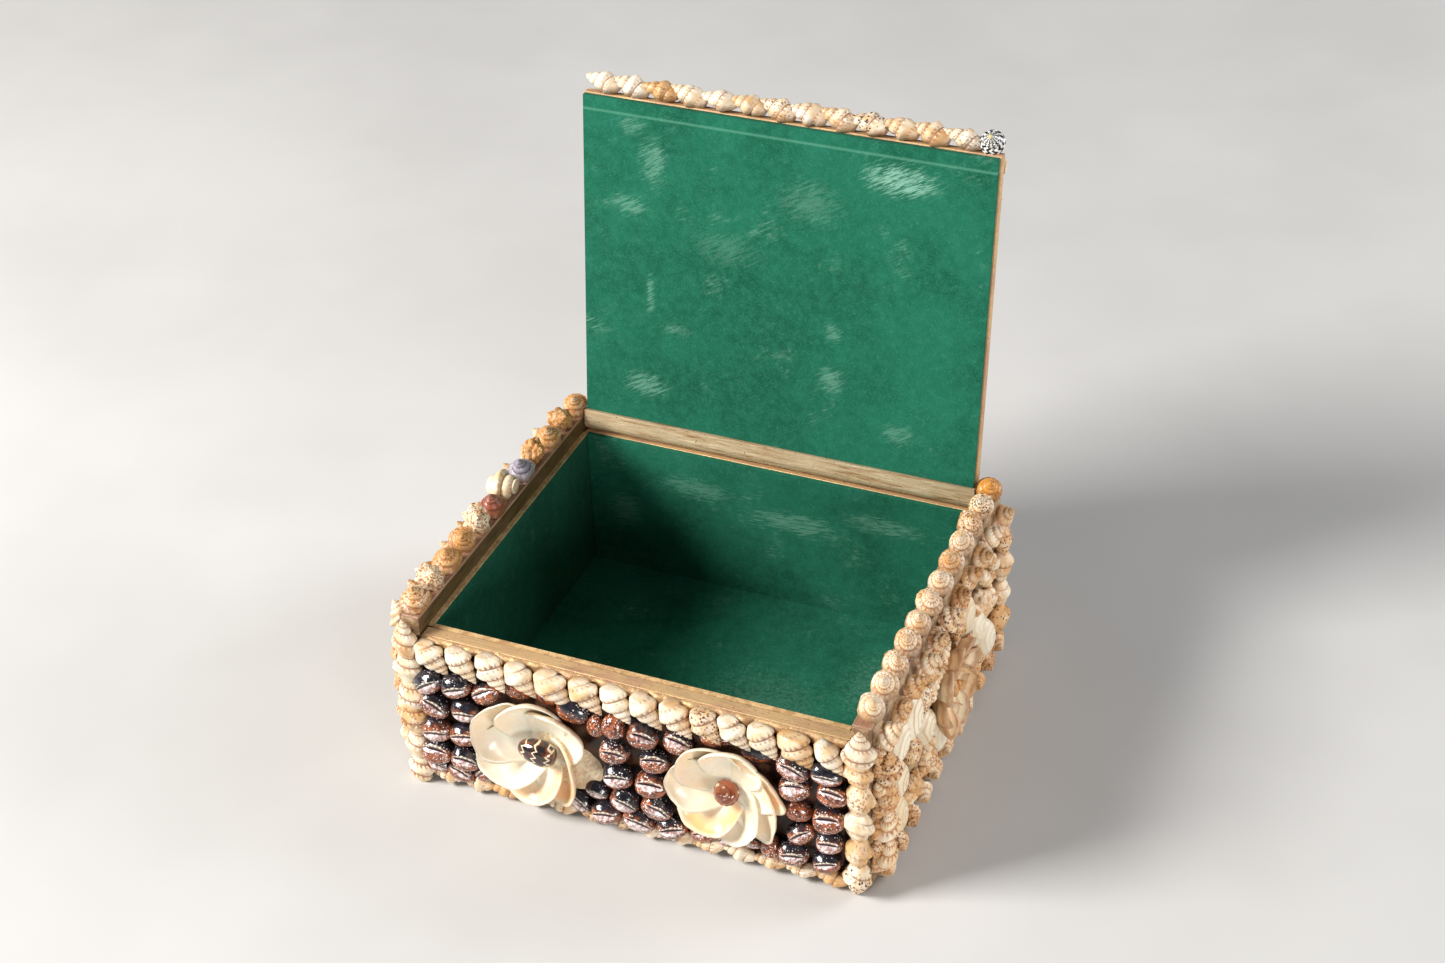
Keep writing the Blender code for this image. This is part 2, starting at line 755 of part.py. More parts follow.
def lid_shells(hinge):
    """A row along the front edge with one round shell at its corner, and the decorated outer face."""
    row_end = LID_HALF - ROW_GAP - NERITE_W
    lip = RAIL_OVER + LID_SHELL_H - LID_ROW_IN
    relief(
        "lid_front_row",
        LID_EDGE,
        (-LID_HALF + ROW_GAP, row_end - ROW_GAP, -LID_ROW_IN, lip),
        (number(row_end + LID_HALF, LID_PITCH), 1),
        LID_ROW_H,
        "whelk",
        hinge,
        slant=LID_SLANT,
        seed=81,
    )
    bead(
        "lid_corner_nerite",
        LID_EDGE,
        (row_end + NERITE_W / 2, (lip - LID_ROW_IN) / 2),
        0,
        (NERITE_W, lip + LID_ROW_IN, LID_ROW_H),
        "dark_dove",
        hinge,
    )
    # The outer face keeps clear of the wall crowns, and of the back wall while the lid stands open.
    half, low, high = LID_HALF - ROW_GAP, -RAIL_END + LID_FOOT_GAP, LID_TOP
    for name, bottom, top, seed in (
        ("lid_outer_front_row", high - LID_BORDER_W, high, 82),
        ("lid_outer_back_row", low, low + LID_BORDER_W, 83),
    ):
        relief(
            name,
            LID_FACE,
            (-half, half, bottom, top),
            (number(2 * half, HIDDEN_PITCH), 1),
            LID_SHELL_H,
            "whelk",
            hinge,
            slant=SLANT,
            seed=seed,
            plain=True,
        )
    inner_low, inner_high = low + LID_BORDER_W + ROW_GAP, high - LID_BORDER_W - ROW_GAP
    for side, name in ((-1, "left"), (1, "right")):
        near, far = -side * half, -side * (half - LID_BORDER_W)
        relief(
            f"lid_outer_{name}_row",
            LID_FACE,
            (min(near, far), max(near, far), inner_low, inner_high),
            (1, number(inner_high - inner_low, HIDDEN_PITCH)),
            LID_SHELL_H,
            "whelk",
            hinge,
            slant=-math.pi / 2,
            seed=84 + side,
            plain=True,
        )
    field = half - LID_BORDER_W - ROW_GAP
    relief(
        "lid_outer_dark_shells",
        LID_FACE,
        (-field, field, inner_low, inner_high),
        LID_FIELD,
        LID_SHELL_H * FIELD_SHELL,
        "dark_dove",
        hinge,
        taper=ROUND,
        flowers=(LID_FLOWER,),
        seed=87,
        plain=True,
    )
    flower("lid_flower", LID_FACE, LID_FLOWER, "petal", hinge, PETALS, PLAIN_STEPS)
    flower_heart("lid_flower_heart", LID_FACE, LID_FLOWER, PLAIN_TURN, hinge)


def main():
    for ob in list(bpy.data.objects):
        bpy.data.objects.remove(ob)
    wooden_box()
    linings()
    hinge = bpy.data.objects.new("lid_hinge", None)
    bpy.context.collection.objects.link(hinge)
    hinge.location = (0, PIVOT_Y, PIVOT_Z)
    hinge.rotation_euler = (-LEAN, 0, 0)
    lid_boards(hinge)
    front_shells()
    side_shells("right", RIGHT, RIGHT_CROWN, 1)
    side_shells("left", LEFT, LEFT_CROWN, -1)
    back_shells()
    lid_shells(hinge)


main()
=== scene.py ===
"""The look of the shell box: every shell, the suede paper, the gold-painted wood, the camera and the light."""

import json
import math
import random

import bpy
import numpy as np
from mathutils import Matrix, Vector


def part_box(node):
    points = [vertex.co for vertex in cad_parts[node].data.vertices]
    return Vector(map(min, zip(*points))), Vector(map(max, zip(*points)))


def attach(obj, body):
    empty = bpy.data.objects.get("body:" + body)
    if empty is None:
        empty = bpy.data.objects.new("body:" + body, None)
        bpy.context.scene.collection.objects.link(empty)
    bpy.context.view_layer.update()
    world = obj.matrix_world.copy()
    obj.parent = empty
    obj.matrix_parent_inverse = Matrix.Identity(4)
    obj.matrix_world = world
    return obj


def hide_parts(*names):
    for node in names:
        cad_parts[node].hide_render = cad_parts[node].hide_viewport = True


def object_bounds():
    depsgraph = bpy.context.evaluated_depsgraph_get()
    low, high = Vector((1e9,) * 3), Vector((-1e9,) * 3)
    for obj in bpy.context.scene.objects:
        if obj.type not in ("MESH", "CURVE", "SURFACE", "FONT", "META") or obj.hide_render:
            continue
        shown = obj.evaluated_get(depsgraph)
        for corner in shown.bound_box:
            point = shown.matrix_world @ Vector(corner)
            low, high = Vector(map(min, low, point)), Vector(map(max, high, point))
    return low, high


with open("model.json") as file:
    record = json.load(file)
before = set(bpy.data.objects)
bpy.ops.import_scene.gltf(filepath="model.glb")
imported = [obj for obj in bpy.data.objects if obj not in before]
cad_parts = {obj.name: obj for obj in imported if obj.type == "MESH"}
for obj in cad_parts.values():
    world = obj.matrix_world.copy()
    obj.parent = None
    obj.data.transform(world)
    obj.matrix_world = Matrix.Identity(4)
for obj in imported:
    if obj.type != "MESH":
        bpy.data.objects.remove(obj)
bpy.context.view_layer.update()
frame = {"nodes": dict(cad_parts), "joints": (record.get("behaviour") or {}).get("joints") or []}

MM = 0.001

# Places on the box, in metres, from the frame
SIDE_LOW, SIDE_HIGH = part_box("right_wall")
RIM_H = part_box("front_wall")[1][2]  # top of the front wall
CHEEK_H = SIDE_HIGH[2]  # top of the side walls
OUT_X = SIDE_HIGH[0]
FRONT_Y, BACK_Y = SIDE_LOW[1], SIDE_HIGH[1]
PIVOT = np.array(frame["joints"][0]["pos_m"])
LEAN = math.radians(6.4)  # how far the open lid leans back
GAP = 0.0003  # that the solids leave between two pieces
RAIL_OVER = 0.0027  # from the pivot to the lid's outer face
LID_TOP = 0.1255  # from the pivot to the lid's front edge
PRESSED_LINE = 0.1207  # from the pivot to the line in the lid's paper
LID_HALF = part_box("lid_panel")[1][0]
LID_ROOM = 0.07435  # no shell on a side wall reaches further inward, where the lid swings
RIM_ROOM = RIM_H + 0.0002  # no shell on the front reaches higher, where the lid lies when it is closed
LID_ROW_LOW = -2.1 * MM  # how far the shells on the lid's edge reach below its inner face
ABOVE_GROUND = 0.0002


def face(origin, along, up, out):
    """A frame that takes (along, up, out) in metres to the box's own coordinates."""
    turn = np.array([along, up, out], float).T
    return np.array(origin, float), turn


def on_lid(origin, along, up, out):
    """The same for a face that is given in the lid's own coordinates, with the pivot as origin."""
    c, s = math.cos(LEAN), math.sin(LEAN)
    lean = np.array([[1, 0, 0], [0, c, s], [0, -s, c]])
    place, turn = face(origin, along, up, out)
    return PIVOT + lean @ place, lean @ turn


FRONT = face((0, FRONT_Y, 0), (1, 0, 0), (0, 0, 1), (0, -1, 0))
BACK = face((0, BACK_Y, 0), (-1, 0, 0), (0, 0, 1), (0, 1, 0))
RIGHT = face((OUT_X, 0, 0), (0, 1, 0), (0, 0, 1), (1, 0, 0))
LEFT = face((-OUT_X, 0, 0), (0, -1, 0), (0, 0, 1), (-1, 0, 0))
RIGHT_CROWN = face((0, 0, CHEEK_H), (0, 1, 0), (-1, 0, 0), (0, 0, 1))
LEFT_CROWN = face((0, 0, CHEEK_H), (0, -1, 0), (1, 0, 0), (0, 0, 1))
LID_FACE = on_lid((0, RAIL_OVER, 0), (-1, 0, 0), (0, 0, 1), (0, 1, 0))
LID_EDGE = on_lid((0, 0, LID_TOP), (1, 0, 0), (0, 1, 0), (0, 0, 1))


# Node graphs

class Graph:
    """One material's nodes, put together from plain calls."""

    def __init__(self, name):
        self.material = bpy.data.materials.new(name)
        self.material.use_nodes = True
        self.tree = self.material.node_tree
        self.shader = self.tree.nodes["Principled BSDF"]

    def node(self, kind, inputs=(), **settings):
        made = self.tree.nodes.new(kind)
        for key, value in settings.items():
            setattr(made, key, value)
        for key, value in dict(inputs).items():
            self.feed(made.inputs[key], value)
        return made

    def feed(self, socket, value):
        if isinstance(value, bpy.types.NodeSocket):
            self.tree.links.new(value, socket)
        elif isinstance(value, tuple) and len(value) == 3 and socket.type == "RGBA":
            socket.default_value = (*value, 1)
        else:
            socket.default_value = value

    def math(self, operation, a, b=0.0, c=0.0):
        return self.node("ShaderNodeMath", {0: a, 1: b, 2: c}, operation=operation).outputs[0]

    def add(self, total, *others):
        for other in others:
            total = self.math("ADD", total, other)
        return total

    def times(self, total, *others):
        for other in others:
            total = self.math("MULTIPLY", total, other)
        return total

    def less(self, a, b):
        return self.math("SUBTRACT", a, b)

    def smooth(self, value, low, high, start=0.0, end=1.0):
        """start below low, end above high, and a soft step between."""
        inputs = {"Value": value, "From Min": low, "From Max": high, "To Min": start, "To Max": end}
        return self.node("ShaderNodeMapRange", inputs, interpolation_type="SMOOTHSTEP").outputs[0]

    def mix(self, share, a, b):
        return self.node("ShaderNodeMix", {0: share, 6: a, 7: b}, data_type="RGBA").outputs[2]

    def split(self, vector):
        return self.node("ShaderNodeSeparateXYZ", {0: vector}).outputs

    def stretch(self, vector, x, y, z):
        scale = self.node("ShaderNodeCombineXYZ", {0: x, 1: y, 2: z}).outputs[0]
        inputs = {0: vector, 1: scale}
        return self.node("ShaderNodeVectorMath", inputs, operation="MULTIPLY").outputs[0]

    def noise(self, vector, scale, detail=2.0, rough=0.5, seed=None, warp=0.0):
        inputs = {"Vector": vector, "Scale": scale, "Detail": detail, "Roughness": rough, "Distortion": warp}
        if seed is None:
            return self.node("ShaderNodeTexNoise", inputs).outputs["Fac"]
        inputs["W"] = seed
        return self.node("ShaderNodeTexNoise", inputs, noise_dimensions="4D").outputs["Fac"]

    def cells(self, vector, scale, seed, wild=1.0):
        inputs = {"Vector": vector, "Scale": scale, "Randomness": wild, "W": seed}
        return self.node("ShaderNodeTexVoronoi", inputs, voronoi_dimensions="4D").outputs["Distance"]

    def place(self):
        """The point on the piece at rest, in metres."""
        return self.node("ShaderNodeTexCoord").outputs["Object"]

    def attribute(self, name):
        return self.node("ShaderNodeAttribute", attribute_name=name).outputs

    def shell(self, spread):
        """What a shell's material reads: the point before it is sized, the three parts of the dye, its own number
        from 0 to 1, and a seed from that."""
        local = self.attribute("local")["Vector"]
        dye = self.attribute("dye")
        return local, self.split(dye["Color"]), dye["Alpha"], self.times(dye["Alpha"], spread)

    def reach(self, x, y):
        return self.math("SQRT", self.add(self.times(x, x), self.times(y, y)))

    def bump(self, height, distance, strength=1.0):
        inputs = {"Height": height, "Distance": distance, "Strength": strength}
        self.feed(self.shader.inputs["Normal"], self.node("ShaderNodeBump", inputs).outputs[0])

    def finish(self, colour, roughness, **plain):
        self.feed(self.shader.inputs["Base Color"], colour)
        self.feed(self.shader.inputs["Roughness"], roughness)
        for key, value in plain.items():
            self.shader.inputs[key.replace("_", " ")].default_value = value
        return self.material


# Shell shapes. Each is (points, faces, local): a shell about 1 long with its tip at +X and its outer side at +Z.
# local is the point before it is sized, which the materials read.

TURNS = 6.0  # whorls on a whelk
SWELL = 20.0  # how fast the whorls grow
LAST_SEAM = (0.72, 0.92)  # the seam fades out between these, on the last whorl


def grid_faces(rows, around, closed):
    faces = []
    last = around if closed else around - 1
    for i in range(rows - 1):
        for j in range(last):
            k = (j + 1) % around
            faces.append((i * around + j, i * around + k, (i + 1) * around + k, (i + 1) * around + j))
    return faces


def capped(points, rows, around):
    """A closed tube of rings, with a point at each end."""
    faces = grid_faces(rows, around, True)
    n = rows * around
    ends = [points[:around].mean(0), points[-around:].mean(0)]
    for j in range(around):
        k = (j + 1) % around
        faces.append((n, k, j))
        faces.append((n + 1, n - around + j, n - around + k))
    return np.vstack([points, ends]), faces


def whelk(widest=0.56, base=0.24, groove=0.30, ribs=0, rib=0.0, cords=0.0, fat=0.85, rows=44, around=26):
    """A spiral shell: rings from the tip to the base, whose width dips at a seam that climbs with the turns."""
    s, turn = np.meshgrid(
        0.004 + 0.996 * np.linspace(0, 1, rows) ** 1.2,
        np.linspace(0, 2 * math.pi, around, endpoint=False),
        indexing="ij",
    )
    whorl = TURNS * np.log1p(SWELL * s) / math.log1p(SWELL) - turn / (2 * math.pi)
    across = whorl % 1
    spire = (np.minimum(s, widest) / widest) ** 0.85
    foot = 1 - (1 - base) * (np.maximum(s - widest, 0) / (1 - widest)) ** 1.45
    fade = np.clip((LAST_SEAM[1] - s) / (LAST_SEAM[1] - LAST_SEAM[0]), 0, 1)
    fade = fade * fade * (3 - 2 * fade)
    wide = spire * foot * (1 - groove * fade * np.abs(2 * across**0.75 - 1) ** 2.2)
    wide *= 1 + rib * np.cos(ribs * turn) * np.sin(math.pi * across) ** 0.7
    wide *= 1 + cords * np.cos(2 * math.pi * 4 * across)
    local = np.stack([0.5 - s, wide * np.cos(turn) / 2, wide * np.sin(turn) / 2], -1).reshape(-1, 3)
    points, faces = capped(local, rows, around)
    return outward((points * (1, 1, fat), faces, points))


def dove(slit=1.0, rows=22, around=40):
    """An egg-shaped shell on its back: a long narrow mouth between a rolled lip and the body, up at +Z."""
    along, turn = np.meshgrid(
        np.linspace(0.02, 0.98, rows) * math.pi,
        np.linspace(0, 2 * math.pi, around, endpoint=False),
        indexing="ij",
    )
    x = -np.cos(along)
    wide = np.sin(along) ** 0.75 * (1 - 0.16 * x)
    y, z = wide * np.cos(turn), wide * np.sin(turn)
    almond = np.clip(1 - (x / 0.92) ** 2, 0.12, 1)
    apart = (y - 0.06 - 0.10 * x + 0.16 * x * x) / almond
    top = np.clip(z, 0, 1) * np.exp(-((x / 0.85) ** 6))
    dent = np.exp(-((apart / 0.12) ** 2))
    lip = np.exp(-(((apart - 0.27) / 0.12) ** 2)) * (1 + 0.35 * np.cos(16 * x))
    inner = np.exp(-(((apart + 0.26) / 0.15) ** 2)) * (1 + 0.25 * np.cos(16 * x))
    rise = slit * top * almond * (0.15 * lip + 0.08 * inner - 0.36 * dent)
    local = np.stack([x, y, z], -1).reshape(-1, 3)
    points = np.stack([x * 0.5, y * 0.5, (z + rise) * 0.5], -1).reshape(-1, 3)
    points, faces = capped(points, rows, around)
    return outward((points, faces, np.vstack([local, [[-1, 0, 0], [1, 0, 0]]])))


def dome(rows=12, around=28, pointed=0.25):
    """A smooth oval shell, such as a cockle or a limpet, lying on its open side."""
    along, turn = np.meshgrid(
        np.linspace(0.02, 1.0, rows), np.linspace(0, 2 * math.pi, around, endpoint=False), indexing="ij"
    )
    away = np.sin(along * math.pi / 2) ** 0.9
    x, y = away * np.cos(turn), away * np.sin(turn) * (1 - pointed * away * np.cos(turn))
    z = np.cos(along * math.pi / 2) ** 0.8
    local = np.stack([x, y, z], -1).reshape(-1, 3)
    points, faces = capped(local * (0.5, 0.5, 1), rows, around)
    return outward((points - (0, 0, 0.3), faces, np.vstack([local, [[0, 0, 1], [0, 0, 0]]])))


def linked(name, data):
    ob = bpy.data.objects.new(name, data)
    bpy.context.scene.collection.objects.link(ob)
    return ob


class Piece:
    """One object made of many shells on a face, with the shells' own coordinates and colours as attributes."""

    def __init__(self, where, seed):
        self.origin, self.turn = where
        self.draw = random.Random(seed)
        self.points, self.faces, self.local, self.dye, self.kind, self.stand = [], [], [], [], [], []
        self.count = 0
        self.lowest = -1.0  # no shell reaches below this, in metres up the face

    def put(self, shape, place, size, turn=0.0, tilt=0.0, dye=(0.5, 0.2, 0.5), roll=0.0, kind=0, spin=0.0):
        """Adds a shape at (along, up, out) in mm, its tip turned by turn from along and tilted out by tilt degrees.

        spin turns the shape round its own axis before it is sized, and roll after that.
        """
        points, faces, local = shape
        place, size = np.array(place) * MM, np.array(size) * MM
        w = math.radians(spin)
        points = points @ np.array([[1, 0, 0], [0, math.cos(w), math.sin(w)], [0, -math.sin(w), math.cos(w)]])
        a, t, r = math.radians(turn), math.radians(tilt), math.radians(roll)
        over = np.array([[1, 0, 0], [0, math.cos(r), -math.sin(r)], [0, math.sin(r), math.cos(r)]])
        lift = np.array([[math.cos(t), 0, -math.sin(t)], [0, 1, 0], [math.sin(t), 0, math.cos(t)]])
        swing = np.array([[math.cos(a), -math.sin(a), 0], [math.sin(a), math.cos(a), 0], [0, 0, 1]])
        on_face = (points * size) @ over.T @ lift.T @ swing.T + place
        on_face[:, 1] = np.maximum(on_face[:, 1], self.lowest)
        self.stand.append((on_face[:, 2] - place[2]) / max(size[2] / 2, 1e-6))
        self.points.append(self.origin + on_face @ self.turn.T)
        self.faces += [tuple(k + self.count for k in f) for f in faces]
        self.local.append(local)
        shade = np.array([*dye, self.draw.random()])
        self.dye.append(np.tile(shade, (len(points), 1)))
        self.kind += [kind] * len(faces)
        self.count += len(points)

    def bed(self, u0, u1, v0, v1, low=0.4, high=2.0, fine=1.2, kind=1):
        """The glue under the shells, over that part of the face in mm: a lumpy slab with the second material."""
        across = max(3, round((u1 - u0) / fine))
        up = max(3, round((v1 - v0) / fine))
        u, v = np.meshgrid(np.linspace(u0, u1, across), np.linspace(v0, v1, up), indexing="ij")
        u, v = u * MM, v * MM
        inset = np.ones_like(u)
        inset[0], inset[-1], inset[:, 0], inset[:, -1] = 0, 0, 0, 0
        top = (low + (high - low) * inset * lumps(u, v, self.draw.random())) * MM
        in_metres = (1 / MM,) * 3  # as slab's points are
        self.put(slab(u, v, top, GAP / 2), (0, 0, 0), in_metres, kind=kind)

    def finish(self, name, materials, body, slot, node, low=(-1, -1, -1), high=(1, 1, 1)):
        """Makes the object. low and high are corners that no shell passes, in metres."""
        mesh = bpy.data.meshes.new(name)
        points = np.clip(np.vstack(self.points), low, high)
        if body == "box":
            points[:, 2] = np.maximum(points[:, 2], ABOVE_GROUND)
        else:
            points[:, 0] = np.clip(points[:, 0], -LID_HALF, LID_HALF)
        mesh.from_pydata(points.tolist(), [], self.faces)
        made = mesh.attributes.new("local", "FLOAT_VECTOR", "POINT")
        made.data.foreach_set("vector", np.vstack(self.local).ravel())
        made = mesh.attributes.new("dye", "FLOAT_COLOR", "POINT")
        made.data.foreach_set("color", np.vstack(self.dye).ravel())
        made = mesh.attributes.new("stand", "FLOAT", "POINT")
        made.data.foreach_set("value", np.concatenate(self.stand))
        mesh.shade_smooth()
        for material in materials:
            mesh.materials.append(material)
        mesh.polygons.foreach_set("material_index", self.kind)
        ob = linked(name, mesh)
        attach(ob, body)
        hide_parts(node)


def outward(shape):
    """The shape with its faces turned to look outward."""
    points, faces, local = shape
    inside = 0.0
    for f in faces:
        a = points[f[0]]
        for b, c in zip(f[1:], f[2:]):
            inside += np.dot(a, np.cross(points[b], points[c]))
    return shape if inside > 0 else (points, [tuple(reversed(f)) for f in faces], local)


def petal(cup=0.42, point=0.0, rim=0.07, wave=0.0, thick=0.10, rings=13, around=48):
    """A shell cut to an oval cup: its outer end at +X, its open side at +Z, 1 from its middle to its rim."""
    out = 0.06 + 0.94 * np.linspace(0, 1, rings) ** 0.8
    reach, turn = np.meshgrid(
        np.concatenate([out, out[::-1]]), np.linspace(0, 2 * math.pi, around, endpoint=False), indexing="ij"
    )
    under = np.repeat([1.0, 0.0], rings)[:, None]
    ahead = np.minimum(turn, 2 * math.pi - turn)
    grow = 1 + point * np.exp(-((ahead / 0.30) ** 2)) + wave * np.sin(5 * turn + 1) + 0.4 * wave * np.sin(11 * turn)
    x, y = reach * np.cos(turn) * grow, reach * np.sin(turn) * grow
    free = np.clip((x + 1) / 1.3, 0, 1)
    free = 0.12 + 0.88 * free * free * (3 - 2 * free)
    z = free * (cup * reach**2.3 + rim * np.exp(-(1 - reach) / 0.06)) + 0.2 * wave * np.sin(26 * turn) * reach**6
    z = z - under * thick
    points, faces = capped(np.stack([x, y, z], -1).reshape(-1, 3), 2 * rings, around)
    local = np.vstack([np.stack([x, y, 1 - 2 * under + 0 * x], -1).reshape(-1, 3), [[0, 0, -1], [0, 0, 1]]])
    return outward((points, faces, local))


def slab(u, v, top, foot):
    """A closed block from foot up to a grid of heights."""
    grid = np.stack([u, v, top], -1)
    rows, columns = top.shape
    n = rows * columns
    upper = grid_faces(rows, columns, False)
    faces = upper + [tuple(k + n for k in reversed(f)) for f in upper]
    edge = (
        list(range(columns))
        + [i * columns + columns - 1 for i in range(1, rows)]
        + [(rows - 1) * columns + j for j in range(columns - 2, -1, -1)]
        + [i * columns for i in range(rows - 2, 0, -1)]
    )
    for a, b in zip(edge, edge[1:] + edge[:1]):
        faces.append((b, a, a + n, b + n))
    under = np.stack([u, v, 0 * top + foot], -1)
    points = np.vstack([grid.reshape(-1, 3), under.reshape(-1, 3)])
    return outward((points, faces, points / (5 * MM)))


def lumps(u, v, seed):
    """A few crossing waves from 0 to 1, as a lumpy bed of glue has."""
    draw = random.Random(seed)
    total = 0 * u
    for _ in range(9):
        a, k, p = draw.uniform(0, math.pi), draw.uniform(250, 1100), draw.uniform(0, 6.3)
        total = total + np.sin(k * (u * math.cos(a) + v * math.sin(a)) + p)
    return 0.5 + total / 14


# Materials

SEAM = TURNS / math.log(1 + SWELL)


def shell_pattern(g, local):
    """Where a point lies on a whelk: the turn round its axis in whorls, and how far it is from the last seam."""
    x, y, z = g.split(local)
    turn = g.times(g.math("ARCTAN2", z, y), 1 / (2 * math.pi))
    s = g.math("MAXIMUM", g.less(0.5, x), 0.0)
    wound = g.times(g.math("LOGARITHM", g.math("MULTIPLY_ADD", s, SWELL, 1.0), math.e), SEAM)
    across = g.math("FRACT", g.less(wound, turn))
    return turn, s, across


def whelk_material(name, pale, cream, tan, mark, rough=0.42):
    """Spiral shells: cream with stained dashes along the seams, and spots where the shell's dye asks for them."""
    g = Graph(name)
    local, (tint, spots, dark), own, seed = g.shell(37.0)
    turn, s, across = shell_pattern(g, local)
    cloud = g.noise(local, 3.2, 3, 0.6, seed)
    fine = g.noise(local, 22.0, 3, 0.6, seed)
    colour = g.mix(g.smooth(cloud, 0.35, 0.68), pale, cream)
    stain = g.smooth(g.add(g.noise(local, 2.4, 2, 0.5, g.add(seed, 5.0)), g.times(tint, 0.60)), 0.40, 0.92)
    colour = g.mix(stain, colour, tan)
    # Brown in the seam, and dashes that run up from it
    uneven = g.noise(local, 7.0, 2, 0.5, g.add(seed, 9.0))
    fading = g.smooth(s, LAST_SEAM[0], LAST_SEAM[1], 1.0, 0.0)
    waves = g.math("SINE", g.add(g.times(turn, 2 * math.pi * 15), g.times(uneven, 8.0)))
    near = g.times(g.smooth(across, 0.10, 0.42, 1.0, 0.0), g.smooth(across, 0.02, 0.08))
    much = g.smooth(g.math("FRACT", g.times(own, 7.3)), 0.1, 0.7, 0.5, 1.0)
    dashes = g.times(g.smooth(waves, -0.1, 0.5), near, much, g.smooth(uneven, 0.35, 0.6, 0.65, 1.0))
    colour = g.mix(g.times(dashes, fading), colour, mark)
    lower = g.times(g.smooth(across, 0.70, 0.80), g.smooth(across, 0.86, 0.94, 1.0, 0.0))
    thin = g.times(lower, g.smooth(waves, 0.0, 0.8), much, 0.6)
    colour = g.mix(thin, colour, mark)
    seam = g.math("MAXIMUM", g.smooth(across, 0.0, 0.12, 0.9, 0.0), g.smooth(across, 0.90, 1.0, 0.0, 0.9))
    colour = g.mix(g.times(seam, fading), colour, mark)
    grooves = g.math("SINE", g.add(g.times(across, 2 * math.pi * 5.0), g.times(cloud, 5.0)))
    grooves = g.times(g.smooth(grooves, 0.55, 1.0, 0.0, 0.30), g.smooth(uneven, 0.4, 0.6))
    colour = g.mix(grooves, colour, tan)
    # Spots in spiral rows, broken into flames
    bands = g.math("SINE", g.times(across, 2 * math.pi * 3.0))
    dots = g.cells(local, 11.0, seed)
    broken = g.add(g.smooth(dots, 0.20, 0.55, 1.0, 0.0), g.math("MULTIPLY_ADD", spots, 0.20, g.times(bands, 0.18)))
    spotted = g.times(g.smooth(broken, 0.45, 0.62), g.smooth(spots, 0.05, 0.75))
    colour = g.mix(spotted, colour, g.mix(dark, mark, (0.02, 0.012, 0.012)))
    # Glue and dirt low down on the shell
    low = g.smooth(g.add(g.attribute("stand")["Fac"], g.times(cloud, 0.5)), -0.45, 0.35, 0.70, 0.0)
    colour = g.mix(low, colour, (0.24, 0.11, 0.045))
    colour = g.mix(g.smooth(fine, 0.62, 0.80, 0.0, 0.25), colour, tan)
    threads = g.math("SINE", g.times(across, 2 * math.pi * 7.0))
    g.bump(g.add(g.times(threads, 0.12), g.times(fine, 0.35), g.times(cloud, 0.5)), 0.00016, 0.8)
    return g.finish(colour, g.smooth(fine, 0.3, 0.7, rough - 0.08, rough + 0.12), Specular_IOR_Level=0.5)


def dove_material():
    """Glossy dark shells: black above the mouth, red-brown with white dots below it, lilac inside."""
    g = Graph("dark dove shells")
    local, (red, worn, back), own, seed = g.shell(41.0)
    x, y, z = g.split(local)
    warp = g.noise(local, 2.3, 3, 0.6, seed)
    almond = g.math("MAXIMUM", g.less(1.0, g.times(g.times(x, x), 1.18)), 0.12)
    bend = g.math("MULTIPLY_ADD", g.times(x, x), -0.16, g.math("MULTIPLY_ADD", x, 0.10, 0.06))
    side = g.math("DIVIDE", g.less(y, bend), almond)
    wavy = g.add(side, g.math("MULTIPLY_ADD", warp, 0.30, -0.15))
    dots = g.smooth(g.cells(local, 6.2, seed, wild=0.6), 0.27, 0.40, 1.0, 0.0)
    black = g.mix(g.smooth(warp, 0.40, 0.65), (0.006, 0.006, 0.010), (0.030, 0.026, 0.036))
    rust = g.noise(local, 3.4, 3, 0.6, seed)
    brown = g.mix(g.smooth(rust, 0.35, 0.65), (0.045, 0.010, 0.010), (0.40, 0.110, 0.034))
    split = g.add(g.less(g.add(y, g.times(warp, 1.3)), g.times(red, 1.2)), g.times(own, 0.4))
    dark = g.smooth(split, 0.62, 1.15)
    colour = g.mix(dark, brown, black)
    few = g.smooth(g.add(g.noise(local, 2.6, 1, 0.5, g.add(seed, 3.0)), g.times(dark, -0.16)), 0.36, 0.46)
    colour = g.mix(g.times(dots, few), colour, (0.86, 0.80, 0.74))
    # The mouth: lilac floor, cream lip and dark slit, only where the shell lies on its back
    ends = g.smooth(g.math("ABSOLUTE", x), 0.70, 0.90, 1.0, 0.0)
    open_side = g.times(g.smooth(z, 0.1, 0.5), g.less(1.0, back), ends)
    ragged = g.noise(local, 4.2, 3, 0.65, g.add(seed, 7.0))
    deep = g.math("MULTIPLY_ADD", worn, -0.46, -0.06)
    floor = g.smooth(g.add(g.less(wavy, deep), g.math("MULTIPLY_ADD", ragged, 1.1, -0.55)), -0.12, 0.10)
    floor = g.times(floor, g.smooth(side, 0.0, 0.14, 1.0, 0.0))
    lilac = g.mix(g.smooth(ragged, 0.38, 0.62), (0.34, 0.15, 0.14), (0.90, 0.82, 0.80))
    colour = g.mix(g.times(floor, open_side), colour, lilac)
    lip = g.times(g.smooth(wavy, 0.16, 0.21), g.smooth(wavy, 0.29, 0.35, 1.0, 0.0))
    teeth = g.smooth(g.math("SINE", g.times(x, 22.0)), -0.6, 0.5, 0.45, 1.0)
    colour = g.mix(g.times(lip, open_side, teeth), colour, (0.80, 0.70, 0.56))
    slit = g.smooth(g.math("ABSOLUTE", side), 0.05, 0.13, 1.0, 0.0)
    colour = g.mix(g.times(slit, open_side), colour, (0.018, 0.006, 0.010))
    g.bump(g.noise(local, 9.0, 3, 0.5, seed), 0.0001, 0.5)
    return g.finish(colour, 0.15, Specular_IOR_Level=0.6, Coat_Weight=0.5, Coat_Roughness=0.05)


